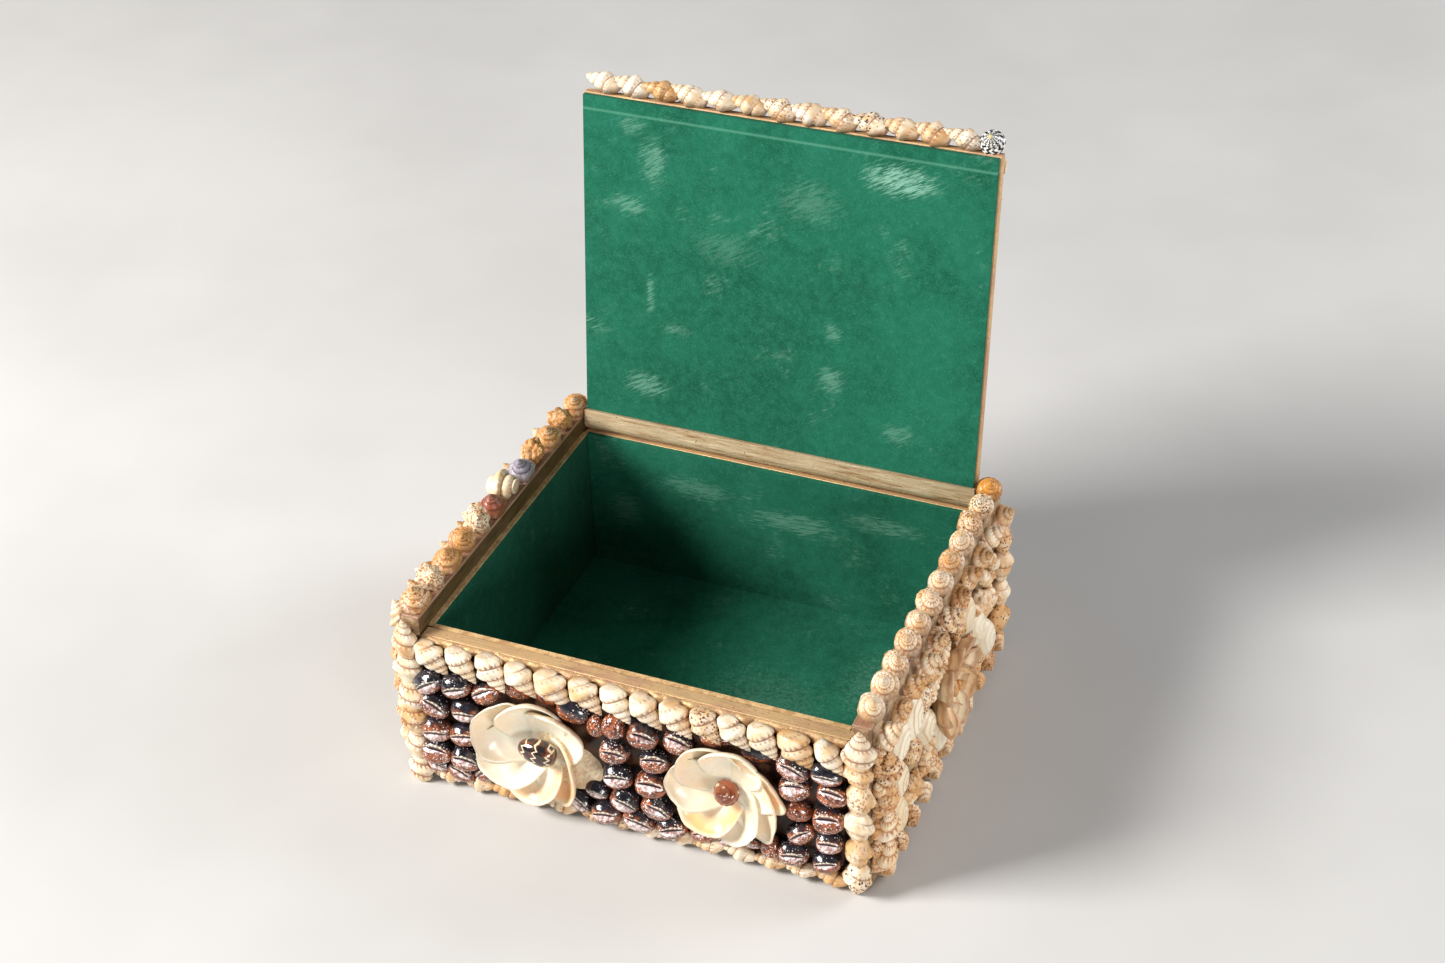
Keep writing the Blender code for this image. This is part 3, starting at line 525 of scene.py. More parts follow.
def petal_material():
    """Polished ivory shell that turns peach to one side, with fine growth lines and a paler rim."""
    g = Graph("petal shells")
    local, (peach, worn, _), _, seed = g.shell(23.0)
    x, y, side = g.split(local)
    reach = g.reach(x, y)
    cloud = g.noise(local, 1.6, 2, 0.5, seed)
    ivory = g.mix(g.smooth(cloud, 0.3, 0.7), (0.94, 0.88, 0.74), (0.90, 0.78, 0.57))
    warm = g.smooth(g.add(y, g.times(x, 0.5), g.times(cloud, 0.6)), -0.2, 1.0)
    colour = g.mix(g.times(warm, g.smooth(reach, 0.15, 0.85), peach), ivory, (0.90, 0.51, 0.22))
    rays = g.noise(g.stretch(local, 3.0, 26.0, 1.0), 1.0, 2, 0.6, seed)
    colour = g.mix(g.smooth(rays, 0.5, 0.75, 0.0, 0.22), colour, (0.72, 0.53, 0.30))
    colour = g.mix(g.smooth(reach, 0.88, 0.97, 0.0, 0.55), colour, (0.92, 0.84, 0.68))
    # Outside of the shell, seen where a petal lies on its face
    lines = g.noise(g.stretch(local, 9.0, 3.0, 1.0), 1.6, 3, 0.7, seed)
    outside = g.mix(g.smooth(lines, 0.4, 0.62), (0.62, 0.45, 0.26), (0.84, 0.72, 0.52))
    colour = g.mix(g.times(g.smooth(side, -0.2, 0.2, 1.0, 0.0), worn), colour, outside)
    g.bump(g.add(g.times(rays, 0.4), g.times(lines, worn)), 0.00015, 0.5)
    return g.finish(colour, g.smooth(cloud, 0.3, 0.7, 0.24, 0.34), Specular_IOR_Level=0.5, Subsurface_Weight=0.12,
                    Subsurface_Scale=0.002, Coat_Weight=0.25, Coat_Roughness=0.12)


def oval_material(name, pale, warm, line):
    """Smooth oval shells with growth rings, from pale to warm as each shell's dye says."""
    g = Graph(name)
    local, (tint, ringed, _), _, seed = g.shell(29.0)
    x, y, z = g.split(local)
    reach = g.reach(x, y)
    cloud = g.noise(local, 2.2, 3, 0.55, seed)
    colour = g.mix(g.smooth(g.add(cloud, g.less(tint, 0.5)), 0.3, 0.8), pale, warm)
    rings = g.math("SINE", g.add(g.times(reach, 24.0), g.times(cloud, 7.0)))
    colour = g.mix(g.times(g.smooth(rings, 0.2, 0.95), ringed, 0.6), colour, line)
    colour = g.mix(g.smooth(reach, 0.86, 0.98, 0.0, 0.5), colour, line)
    fine = g.noise(local, 14.0, 3, 0.6, seed)
    g.bump(g.add(g.times(rings, 0.3), fine), 0.00015, 0.6)
    return g.finish(colour, g.smooth(fine, 0.3, 0.7, 0.32, 0.5), Specular_IOR_Level=0.5)


def nerite_material():
    """The round shell on the lid's corner: white with black zigzags, and a yellow tip."""
    g = Graph("black and white shell")
    turn, s, across = shell_pattern(g, g.attribute("local")["Vector"])
    zigzag = g.math("PINGPONG", g.times(across, 3.0), 0.5)
    line = g.math("SINE", g.times(g.add(g.times(turn, 11.0), zigzag), 2 * math.pi))
    colour = g.mix(g.smooth(line, -0.35, 0.05), (0.84, 0.82, 0.76), (0.012, 0.012, 0.016))
    colour = g.mix(g.smooth(s, 0.03, 0.10, 1.0, 0.0), colour, (0.80, 0.62, 0.16))
    return g.finish(colour, 0.2, Coat_Weight=0.5, Coat_Roughness=0.06)


def heart_material():
    """The shells at the flowers' hearts: brown to black with cream zigzags or spots."""
    g = Graph("heart shells")
    local, (red, spotted, _), _, seed = g.shell(31.0)
    x, y, z = g.split(local)
    warp = g.noise(local, 2.6, 2, 0.5, seed)
    ground = g.mix(g.smooth(g.add(warp, g.times(red, 0.45)), 0.45, 0.8), (0.018, 0.014, 0.014), (0.25, 0.06, 0.02))
    zigzag = g.math("PINGPONG", y, 0.22)
    line = g.math("SINE", g.add(g.times(g.add(x, zigzag), 9.5), g.times(warp, 2.0)))
    lines = g.times(g.smooth(line, 0.80, 0.95), g.less(1.0, spotted))
    spots = g.times(g.smooth(g.cells(local, 3.6, seed), 0.22, 0.36, 1.0, 0.0), spotted)
    colour = g.mix(g.math("MAXIMUM", lines, spots), ground, (0.78, 0.62, 0.42))
    return g.finish(colour, 0.15, Specular_IOR_Level=0.6, Coat_Weight=0.6, Coat_Roughness=0.05)


def glue_material():
    """Brown glue and size between the shells, shiny in places."""
    g = Graph("glue bed")
    place = g.place()
    clouds = g.noise(place, 260.0, 4, 0.6)
    colour = g.mix(g.smooth(clouds, 0.35, 0.7), (0.018, 0.008, 0.005), (0.10, 0.040, 0.016))
    g.bump(clouds, 0.0004, 0.8)
    return g.finish(colour, g.smooth(clouds, 0.3, 0.7, 0.3, 0.6))


def sand_material():
    """Pale glue and grit between the light shells."""
    g = Graph("pale glue bed")
    place = g.place()
    clouds = g.noise(place, 240.0, 4, 0.6)
    grit = g.noise(place, 1500.0, 3, 0.7)
    colour = g.mix(g.smooth(clouds, 0.35, 0.7), (0.16, 0.075, 0.032), (0.50, 0.34, 0.18))
    colour = g.mix(g.smooth(grit, 0.55, 0.75, 0.0, 0.5), colour, (0.70, 0.56, 0.38))
    g.bump(g.add(clouds, grit), 0.0004, 0.8)
    return g.finish(colour, 0.6)


def wood_material(name, lengthwise, paint, under, share, bare_top=None):
    """Wood with gold paint brushed along the grain.

    lengthwise is how the grain's texture is stretched, share is how much pink primer shows, and above bare_top the
    wood is unpainted.
    """
    g = Graph(name)
    place = g.place()
    grain = g.noise(g.stretch(place, *lengthwise), 1.0, 5, 0.65, warp=1.2)
    hairs = g.noise(g.stretch(place, *(3.0 * k for k in lengthwise)), 1.0, 4, 0.7)
    cloud = g.noise(place, 60.0, 3, 0.6)
    speck = g.noise(place, 1400.0, 2, 0.6)
    streak = g.smooth(g.add(g.times(grain, 0.6), g.times(hairs, 0.4)), 0.36, 0.66)
    colour = g.mix(streak, under, paint)
    pink = g.smooth(g.add(g.times(cloud, 0.6), g.times(hairs, 0.4)), 0.50, 0.60, 0.0, share)
    colour = g.mix(pink, colour, (0.52, 0.28, 0.17))
    colour = g.mix(g.smooth(speck, 0.64, 0.72, 0.0, 0.8), colour, (0.13, 0.06, 0.03))
    shine = g.smooth(streak, 0.2, 0.9, 0.15, 0.55)
    if bare_top is not None:
        z = g.split(place)[2]
        on_top = g.smooth(z, bare_top - 0.0008, bare_top - 0.0003)
        raw = g.mix(streak, (0.26, 0.12, 0.065), (0.46, 0.26, 0.16))
        colour = g.mix(on_top, colour, raw)
        shine = g.times(shine, g.less(1.0, on_top))
    g.feed(g.shader.inputs["Metallic"], shine)
    g.bump(g.add(g.times(grain, 0.7), g.times(hairs, 0.5), g.times(speck, 0.25)), 0.0005, 0.7)
    return g.finish(colour, g.smooth(hairs, 0.3, 0.7, 0.36, 0.6))


def suede_material(name, rubs=(), line_at=None, gold_above=None, slope=0.5, shade=0.0):
    """Green flocked paper: a soft mottled nap with chalky rubs. Each rub is (x, y, z, wide, high, strength) in mm.

    line_at is the height of a pressed line, and above gold_above the paper's edge is gilt. slope leans the rubs'
    strokes, and shade darkens the green as painted shade.
    """
    g = Graph(name)
    place = g.place()
    fibre = g.noise(place, 1800.0, 3, 0.75)
    nap = g.noise(place, 320.0, 4, 0.7)
    cloud = g.noise(place, 38.0, 3, 0.55)
    colour = g.mix(g.smooth(cloud, 0.3, 0.7), (0.005, 0.080, 0.044), (0.010, 0.125, 0.072))
    colour = g.mix(g.smooth(nap, 0.35, 0.70, 0.0, 0.45), colour, (0.022, 0.170, 0.105))
    colour = g.mix(g.smooth(fibre, 0.5, 0.72, 0.0, 0.55), colour, (0.050, 0.240, 0.155))
    slant = g.node("ShaderNodeVectorRotate", {"Vector": place, "Angle": slope}, rotation_type="Y_AXIS").outputs[0]
    hair = g.noise(g.stretch(slant, 170.0, 900.0, 1500.0), 1.0, 3, 0.8, warp=0.5)
    total = g.times(g.smooth(g.noise(place, 55.0, 4, 0.7), 0.56, 0.78), g.smooth(hair, 0.45, 0.65), 0.5)
    px, py, pz = g.split(place)
    for x, y, z, wide, high, strength in rubs:
        a = g.times(g.less(px, x * MM), 1 / (wide * MM))
        b = g.times(g.less(pz, z * MM), 1 / (high * MM))
        c = g.times(g.less(py, y * MM), 1 / (25 * MM))
        away = g.add(g.times(a, a), g.times(b, b), g.times(c, c))
        streaks = g.smooth(g.add(hair, g.times(g.math("EXPONENT", g.times(away, -1.2)), 0.24)), 0.58, 0.78)
        total = g.math("MAXIMUM", total, g.times(streaks, g.smooth(away, 0.1, 1.6, 1.0, 0.0), strength))
    colour = g.mix(total, colour, (0.26, 0.50, 0.38))
    if line_at is not None:
        pressed = g.smooth(g.math("ABSOLUTE", g.less(pz, line_at)), 0.0002, 0.0007, 0.28, 0.0)
        colour = g.mix(pressed, colour, (0.16, 0.42, 0.30))
    # Painted shade: the green is mixed towards near black by the share shade.
    colour = g.mix(shade, colour, (0.001, 0.012, 0.006))
    if gold_above is not None:
        edge = g.smooth(pz, gold_above - 0.0005, gold_above - 0.0002)
        brushed = g.add(g.times(nap, 0.6), g.times(fibre, 0.4))
        gold = g.mix(g.smooth(brushed, 0.42, 0.58), (0.42, 0.24, 0.11), (0.66, 0.44, 0.21))
        colour = g.mix(edge, colour, gold)
    g.bump(g.add(g.times(fibre, 0.5), g.times(nap, 0.5)), 0.00025, 0.7)
    return g.finish(colour, 0.95, Specular_IOR_Level=0.08, Sheen_Weight=0.04, Sheen_Roughness=0.5)


# Shells in stock

def stock():
    """A few of each kind of shell, so that neighbours differ."""
    return {
        "whelk": [
            whelk(widest=0.62, base=0.40, groove=0.24),
            whelk(widest=0.59, base=0.44, groove=0.27, ribs=11, rib=0.05),
            whelk(widest=0.64, base=0.37, groove=0.22),
            whelk(widest=0.60, base=0.42, groove=0.26, ribs=9, rib=0.03),
        ],
        "plain": [
            whelk(widest=0.60, base=0.36, groove=0.27, rows=30, around=18),
            whelk(widest=0.57, base=0.44, groove=0.33, ribs=9, rib=0.05, rows=30, around=18),
        ],
        "crown": [
            whelk(widest=0.72, base=0.66, groove=0.22, fat=1.0),
            whelk(widest=0.68, base=0.58, groove=0.26, fat=1.0, ribs=13, rib=0.03),
            whelk(widest=0.76, base=0.70, groove=0.20, fat=1.0),
        ],
        "rough": [
            whelk(widest=0.60, base=0.40, groove=0.30, ribs=8, rib=0.14, cords=0.04),
            whelk(widest=0.55, base=0.30, groove=0.32, ribs=7, rib=0.18, cords=0.05),
        ],
        "small": [
            whelk(widest=0.60, base=0.42, groove=0.30, ribs=6, rib=0.12, rows=24, around=18),
            whelk(widest=0.66, base=0.50, groove=0.28, rows=24, around=16),
            whelk(widest=0.55, base=0.34, groove=0.32, ribs=5, rib=0.16, rows=24, around=18),
        ],
        "dove": [dove(1.0), dove(0.8), dove(1.15)],
        "back": [dove(0.0, rows=16, around=28), dove(0.5, rows=12, around=22)],
        "oval": [dome(pointed=0.10), dome(pointed=0.28), dome(pointed=0.18)],
    }


SHELL = stock()
CREAM_SHELLS = whelk_material(
    "cream shells", (0.90, 0.83, 0.70), (0.84, 0.70, 0.49), (0.64, 0.37, 0.15), (0.23, 0.068, 0.015)
)
CROWN_SHELLS = whelk_material(
    "crown shells", (0.92, 0.83, 0.66), (0.83, 0.62, 0.36), (0.64, 0.34, 0.12), (0.42, 0.14, 0.028)
)
ORANGE = whelk_material(
    "orange shell", (0.88, 0.62, 0.28), (0.80, 0.46, 0.13), (0.68, 0.30, 0.06), (0.44, 0.16, 0.03), 0.16
)
RED_SHELL = whelk_material(
    "red-brown shell", (0.80, 0.62, 0.48), (0.52, 0.20, 0.10), (0.30, 0.08, 0.04), (0.16, 0.04, 0.03), 0.25
)
GREY_SHELL = whelk_material(
    "purple-grey shell", (0.62, 0.58, 0.60), (0.36, 0.32, 0.38), (0.22, 0.18, 0.24), (0.08, 0.06, 0.10), 0.3
)
DOVES = dove_material()
PETALS = petal_material()
OVALS = oval_material("white oval shells", (0.86, 0.77, 0.60), (0.76, 0.59, 0.36), (0.50, 0.30, 0.13))
PINK_OVALS = oval_material("pink-rimmed shells", (0.87, 0.73, 0.50), (0.82, 0.58, 0.33), (0.46, 0.20, 0.08))
HEARTS = heart_material()
ZEBRA = nerite_material()
GLUE = glue_material()
PALE_GLUE = sand_material()
GOLD_CRUST = wood_material("gold paint crust", (300.0, 300.0, 300.0), (0.70, 0.47, 0.22), (0.34, 0.18, 0.08), 0.3)


def mixed(draw, plain=0.6):
    """The dye of one pale shell: (tint, spots, how dark the spots are)."""
    kind = draw.random()
    if kind < plain:
        return draw.uniform(0, 0.35), draw.uniform(0, 0.08), 0.0
    if kind < plain + 0.25:
        return draw.uniform(0.2, 0.8), draw.uniform(0.2, 0.6), draw.uniform(0, 0.4)
    return draw.uniform(0.1, 0.6), draw.uniform(0.7, 1.0), draw.uniform(0.3, 1.0)


def whelks(piece, cells, size, turn, tilt=0.0, dyes=None, kinds="whelk", lift=3.4, sway=9.0, plain=0.6):
    """One shell in each cell (along, up), in mm. sway is how far a shell may turn from its direction."""
    draw = piece.draw
    for i, (u, v) in enumerate(cells):
        dye = dyes[i % len(dyes)] if dyes else mixed(draw, plain)
        grow = draw.uniform(0.93, 1.06)
        piece.put(
            draw.choice(SHELL[kinds]), (u, v, lift), [k * grow for k in size], turn=turn + draw.uniform(-sway, sway),
            tilt=tilt + draw.uniform(-5, 5), spin=draw.uniform(0, 360), dye=dye,
        )


def group(where, seed, name, node, area, *rows, glue=PALE_GLUE, shells=CREAM_SHELLS, body="box"):
    """One node's shells in a bed of glue. area is what bed takes, and each row is what whelks takes."""
    piece = Piece(where, seed)
    piece.bed(*area)
    for cells, size, turn, tilt, settings in rows:
        whelks(piece, cells, size, turn, tilt, **settings)
    piece.finish(name, [shells, glue], body, "whelk", node)


def one(where, seed, name, node, shape, place, size, material, body="box", slot="dark_dove", low=None, **settings):
    """A piece that is a single shell."""
    piece = Piece(where, seed)
    if low is not None:
        piece.lowest = low
    piece.put(shape, place, size, **settings)
    inward = {"low": (LID_ROOM, -1, -1)} if where is RIGHT_CROWN else {}
    piece.finish(name, [material], body, slot, node, **inward)


def spread(low, high, count):
    """Middles of that many equal cells."""
    return [low + (high - low) * (i + 0.5) / count for i in range(count)]


# The front

LEFT_FLOWER = (-32.6, 28.2, 22.4)  # middle and radius in mm
RIGHT_FLOWER = (34.4, 31.0, 20.4)
TOP_WIDTHS = (11, 11, 11, 10.5, 12.5, 11, 10.5, 10.5, 10.5, 9.5, 10, 9.5, 13, 9)
TOP_DYES = (
    (0.15, 0.0, 0.0), (0.10, 0.05, 0.0), (0.0, 0.22, 0.3), (0.10, 0.0, 0.0), (0.30, 0.05, 0.0),
    (0.30, 0.10, 0.0), (0.0, 0.0, 0.0), (0.20, 0.0, 0.0), (0.25, 0.0, 0.0), (0.35, 0.95, 0.45),
    (0.0, 0.0, 0.0), (0.05, 0.0, 0.0), (0.40, 0.0, 0.0), (0.15, 0.0, 0.0),
)
# Dark shells: (along, up) in mm, then length, width and turn where one stands out
DARK_SHELLS = [
    (-70, 45), (-60, 46), (-50, 45), (-39, 48, 9.5, 7, -8), (-28.5, 49, 9.5, 7, -15), (-19, 46.5, 11.5, 9.5, -22),
    (-11, 43, 7.4, 6.8, 80), (-4, 46, 8.4, 8.2, 85), (6.6, 45.6), (18, 44.6), (30, 49, 11, 7, -5),
    (44.5, 47.6, 11.5, 7.5, -5), (57, 47.4, 11, 8.4, -22), (68, 48, 10.4, 7.8, -8),
    (-69, 35.4), (-57.4, 36), (-4, 35.6), (10, 35.4), (57.4, 38.8, 10.8, 8.6, 12), (70, 40.6, 10.4, 8.2, -4),
    (-69, 25), (-59, 25), (-3, 25.6), (8.6, 25.4), (58.4, 29.6, 9.2, 8, -20), (69, 30, 10.4, 9.4, 5),
    (-70, 15), (-59, 15.4), (-12, 14.6, 9, 7.4, -20), (-1, 15.8), (10, 15.8), (59.4, 20.6, 9.4, 7.6, 30),
    (69, 19.8, 8.8, 8, 0), (-70.6, 8.6, 8.4, 6.4, -20), (-62, 8.2, 10, 7.4, -25), (-53, 10.6, 9, 7.2, 40),
    (-46, 8.6, 8.6, 5.8, -30), (-19, 7.8, 12, 7.6, -38), (-8.4, 7.8), (3.4, 8.4), (15, 8.6),
    (25.6, 8.6, 9.8, 7, 10), (33.4, 8.4, 7.6, 6.4, 30), (41, 9, 9, 5.6, -10), (49, 11, 8, 7.4, 85),
    (57, 11.8, 10, 9, 0), (68, 10.8, 9.4, 7.6, 12),
]
# Which of them are redder, and which show their back
REDDER = {
    3: 0.7, 4: 0.55, 6: 0.8, 7: 0.95, 12: 0.2, 24: 0.8, 25: 0.45, 34: 0.3, 41: 0.8, 43: 0.6, 44: 0.75, 45: 0.35
}
BACKS_UP = {3, 5, 6, 7, 11, 24, 44}


def front_top():
    row = Piece(FRONT, 11)
    row.bed(-73.6, 73.6, 49.5, 57.1, 0.5, 2.2)
    row.bed(-73.9, 73.9, 57.0, 60.3, 0.2, 3.4, fine=0.5, kind=2)
    draw = row.draw
    x, scale = -73.7, 147.4 / sum(TOP_WIDTHS)
    for i, (wide, dye) in enumerate(zip(TOP_WIDTHS, TOP_DYES)):
        wide *= scale
        row.put(
            SHELL["whelk"][(i * 3 + 1) % 4], (x + wide / 2 + 0.2, 54.6 + draw.uniform(-0.3, 0.3), 4.0),
            (10.7 + 0.42 * wide, 2.2 + 0.84 * wide, 9.6), turn=-49 + draw.uniform(-7, 7), tilt=draw.uniform(0, 9),
            spin=draw.uniform(0, 360), dye=dye,
        )
        x += wide
    high = (1, 1, RIM_ROOM)
    row.finish("front_top_shells", [CREAM_SHELLS, GLUE, GOLD_CRUST], "box", "whelk", "front_top_row", high=high)


def front_dark():
    dark = Piece(FRONT, 15)
    dark.bed(-73.6, 73.6, 7.2, 49.2, 0.5, 2.6)
    draw = dark.draw
    for i, (u, v, *own) in enumerate(DARK_SHELLS):
        length, width, turn = own or (draw.uniform(9.9, 11.5), draw.uniform(8.3, 9.6), draw.uniform(-40, 32))
        back = i in BACKS_UP
        shape = SHELL["back"][0] if back else draw.choice(SHELL["dove"])
        dye = (REDDER.get(i, draw.choice((0.0, 0.15, 0.35))), draw.uniform(0.2, 1.3), float(back))
        # Deeper in the glue where a flower spreads over it
        near = max(r + 5 - math.hypot(u - a, v - b) for a, b, r in (LEFT_FLOWER, RIGHT_FLOWER))
        sunk = min(3.0, max(0.0, 0.6 * near))
        dark.put(
            shape, (u, v, 1.0 + 0.42 * width - sunk), (length, width, width * 0.86), turn=turn,
            tilt=draw.uniform(-9, 9), roll=draw.uniform(-46, 4), dye=dye,
        )
    dark.finish("front_dark_shell_field", [DOVES, GLUE], "box", "dark_dove", "front_dark_shells")


def front():
    front_top()
    row = [(u, 3.9) for u in spread(-73.7, 73.7, 14)]
    group(FRONT, 12, "front_bottom_shells", "front_bottom_row", (-73.6, 73.6, 0.35, 6.9, 0.4, 1.6),
          (row, (12.4, 7.2, 7.0), 180, 3, {"lift": 3.1, "plain": 0.55}), glue=GLUE)

    dyes = [(0.1, 0.0, 0.0), (0.2, 0.1, 0.1), (0.5, 0.45, 0.3), (0.15, 0.0, 0.0), (0.1, 0.05, 0.0), (0.25, 0.1, 0.0)]
    column = [(-78.0, v) for v in spread(1.2, 66.0, 6)]
    group(FRONT, 13, "front_left_column_shells", "front_left_column", (-81.0, -74.4, 0.4, 66.3, 0.4, 1.4),
          (column, (15.0, 11.4, 8.8), 90, -2, {"dyes": dyes, "lift": 3.8, "sway": 10}))

    dyes = [(0.2, 1.0, 0.9), (0.45, 0.35, 0.1), (0.1, 0.05, 0.0), (0.35, 0.45, 0.1), (0.45, 0.35, 0.0)]
    *column, top = [(78.1, v) for v in spread(0.6, 66.2, 6)]
    group(FRONT, 14, "front_right_column_shells", "front_right_column", (74.4, 81.0, 0.4, 66.3, 0.4, 1.4),
          (column, (15.2, 11.8, 9.0), -90, -2, {"dyes": dyes, "lift": 3.8, "sway": 10}),
          ([top], (14.6, 11.8, 9.2), 88, 0, {"dyes": [(0.1, 0.05, 0.0)], "lift": 3.8, "sway": 3}))
    front_dark()


def flower(where, name, node, seed, place, petals, body="box", slot="petal", material=PETALS):
    """Petals round a middle, given with the flower's radius in mm.

    Each is (angle, out from the middle, swirl, length, width, cup, roll, tilt, peach, worn, point) with lengths as
    shares of the radius, and lies over the next one round.
    """
    piece = Piece(where, seed)
    middle_u, middle_v, radius = place
    for angle, away, swirl, length, width, cup, roll, tilt, peach, worn, point in petals:
        a = math.radians(angle)
        shape = petal(cup=cup, point=point, wave=piece.draw.uniform(0.01, 0.03))
        piece.put(
            shape, (middle_u + away * radius * math.cos(a), middle_v + away * radius * math.sin(a), 3.0),
            (length * radius, width * radius, 0.5 * radius), turn=angle + swirl, tilt=tilt, roll=roll,
            dye=(peach, worn, 0.0),
        )
    piece.finish(name, [material], body, slot, node)


def flowers():
    left = [
        (-12, 0.5, 152, 0.58, 0.46, 0.29, 196, 3, 0.35, 1, 0.16),
        (48, 0.44, -38, 0.56, 0.48, 0.36, 10, 5, 0.1, 0.5, 0),
        (100, 0.46, -22, 0.56, 0.52, 0.40, 18, 9, 0.15, 0.2, 0),
        (158, 0.47, -10, 0.56, 0.56, 0.48, 15, 10, 0.25, 0, 0),
        (212, 0.46, -10, 0.54, 0.52, 0.43, 11, 9, 0.1, 0, 0),
        (262, 0.48, -8, 0.52, 0.52, 0.4, 12, 7, 0.7, 0, 0),
        (312, 0.46, -16, 0.54, 0.44, 0.36, 16, 6, 0.9, 0, 0.04),
    ]
    right = [
        (30, 0.46, -52, 0.58, 0.48, 0.3, 11, 4, 0.9, 0, 0.16),
        (82, 0.46, -24, 0.54, 0.52, 0.39, 11, 7, 0.2, 0, 0),
        (132, 0.47, -16, 0.54, 0.52, 0.42, 11, 8, 0.3, 0, 0),
        (182, 0.47, -12, 0.53, 0.5, 0.39, 11, 8, 0.25, 0, 0),
        (234, 0.48, -12, 0.53, 0.52, 0.4, 13, 7, 1, 0, 0),
        (285, 0.48, -12, 0.53, 0.5, 0.36, 13, 6, 0.15, 0, 0),
        (338, 0.48, -40, 0.58, 0.46, 0.3, 13, 4, 0.4, 0, 0.16),
    ]
    flower(FRONT, "left_flower_petals", "front_left_flower", 21, LEFT_FLOWER, left)
    flower(FRONT, "right_flower_petals", "front_right_flower", 22, RIGHT_FLOWER, right)
    one(FRONT, 23, "left_flower_heart", "front_left_flower_heart", SHELL["back"][0], (-31.0, 28.8, 7.4),
        (13.4, 9.4, 7.6), HEARTS, turn=172, dye=(0.05, 0.0, 0))
    one(FRONT, 24, "right_flower_heart", "front_right_flower_heart", SHELL["crown"][1], (34.2, 31.4, 7.0),
        (10.0, 9.6, 9.0), HEARTS, turn=110, tilt=55, dye=(0.7, 1.0, 0))


# The sides. Along runs from the front to the back on the right side, and the other way on the left one.

ROSETTE = (0, 33, 18.0)
UPPER_DYES = [
    (0.1, 0.0, 0.0), (0.4, 0.5, 0.4), (0.55, 0.5, 0.3), (0.1, 0.1, 0.3), (0.3, 0.6, 0.8), (0.2, 1.0, 0.6),
    (0.5, 0.8, 0.2), (0.4, 0.5, 0.5), (0.3, 0.2, 0.2), (0.1, 0.0, 0.0), (0.4, 0.3, 0.4),
]
COLUMN_DYES = [(0.15, 0.15, 0.1), (0.1, 0.0, 0.0), (0.4, 0.55, 0.4), (0.35, 0.7, 0.7)]


def side(where, name, seed):
    m = 1 if name == "right" else -1

    def strip(n, kind, node, area, *rows):
        u0, u1 = sorted((m * area[0], m * area[1]))
        rows = [([(m * y, z) for y, z in cells], *others) for cells, *others in rows]
        group(where, seed + n, f"{name}_{kind}_shells", f"{name}_{node}", (u0, u1, *area[2:]), *rows,
              shells=CROWN_SHELLS)

    strip(1, "upper", "upper_row", (-66.1, 66.1, 54.7, 66.2, 0.4, 2.0),
          ([(y, 61.2) for y in spread(-66, 66, 11)], (12.0, 12.4, 11.0), 90, 48,
           {"dyes": UPPER_DYES, "lift": 3.4, "sway": 35}))
    strip(2, "bottom", "bottom_row", (-66.1, 66.1, 0.4, 8.9, 0.4, 1.8),
          ([(y, 5.0) for y in spread(-66, 66, 11)], (9.4, 9.6, 9.4), 180 if m > 0 else 0, 42,
           {"lift": 3.4, "sway": 25}))
    strip(3, "front_column", "front_column", (-66.1, -55.4, 9.4, 54.2, 0.4, 1.8),
          ([(-61.6, v) for v in spread(8.0, 55.0, 4)], (14.8, 12.2, 9.6), 90, 8,
           {"dyes": COLUMN_DYES, "lift": 3.8, "sway": 16}),
          ([(-65.0, v) for v in spread(6.0, 62.0, 7)], (8.6, 5.4, 5.4), 90, 0,
           {"lift": 1.6, "sway": 25, "kinds": "plain", "plain": 0.5}))
    strip(4, "back_column", "back_column", (55.4, 66.1, 9.4, 54.2, 0.4, 1.8),
          ([(61.2, v) for v in spread(9.0, 54.8, 4)], (14.6, 12.0, 8.8), -90, 5,
           {"lift": 3.6, "sway": 14, "plain": 0.35}))

    field = Piece(where, seed + 5)
    field.bed(-55.2, 55.2, 9.3, 54.3, 0.4, 2.2)
    draw = field.draw
    for y in spread(-55, 55, 8):
        for z in spread(9.4, 54.4, 3):
            if math.hypot(y, z - ROSETTE[1]) < 13:
                continue
            turn = draw.uniform(60, 120)
            if y < -41 or (round(y / 13.8) + round(z / 15)) % 3 == 1:
                field.put(draw.choice(SHELL["oval"]), (m * y, z, 1.8), (17.5, 13.2, 6.0), turn=turn,
                          tilt=draw.uniform(-6, 6), dye=(draw.uniform(0, 0.7), draw.uniform(0, 1), 0))
                continue
            for _ in range(5):
                u, v = m * y + draw.uniform(-5, 5), z + draw.uniform(-5, 5)
                grow = draw.uniform(0.8, 1.2)
                field.put(draw.choice(SHELL["small"]), (u, v, draw.uniform(2.2, 3.6)),
                          (9.5 * grow, 7.0 * grow, 6.4 * grow), turn=draw.uniform(0, 360), tilt=draw.uniform(-25, 25),
                          spin=draw.uniform(0, 360), kind=2, dye=mixed(draw, 0.45))
    materials = [OVALS, PALE_GLUE, CROWN_SHELLS]
    field.finish(f"{name}_pale_shell_field", materials, "box", "whelk", f"{name}_pale_shells")

    petals = [
        (i * 45 + 12, 0.60, -14, 0.42, 0.36, 0.5, 12, 14, 0.9 if i % 3 else 0.3, 0.8, 0.05) for i in range(8)
    ]
    flower(where, f"{name}_rosette_petals", f"{name}_rosette", seed + 6, ROSETTE, petals, slot="pink_petal",
           material=PINK_OVALS)
    one(where, seed + 7, f"{name}_rosette_centre", f"{name}_rosette_heart", SHELL["rough"][0], (0, 33, 6.0),
        (9, 8.4, 8), CROWN_SHELLS, slot="whelk", turn=30, tilt=50, dye=(0.7, 0.4, 0.2))


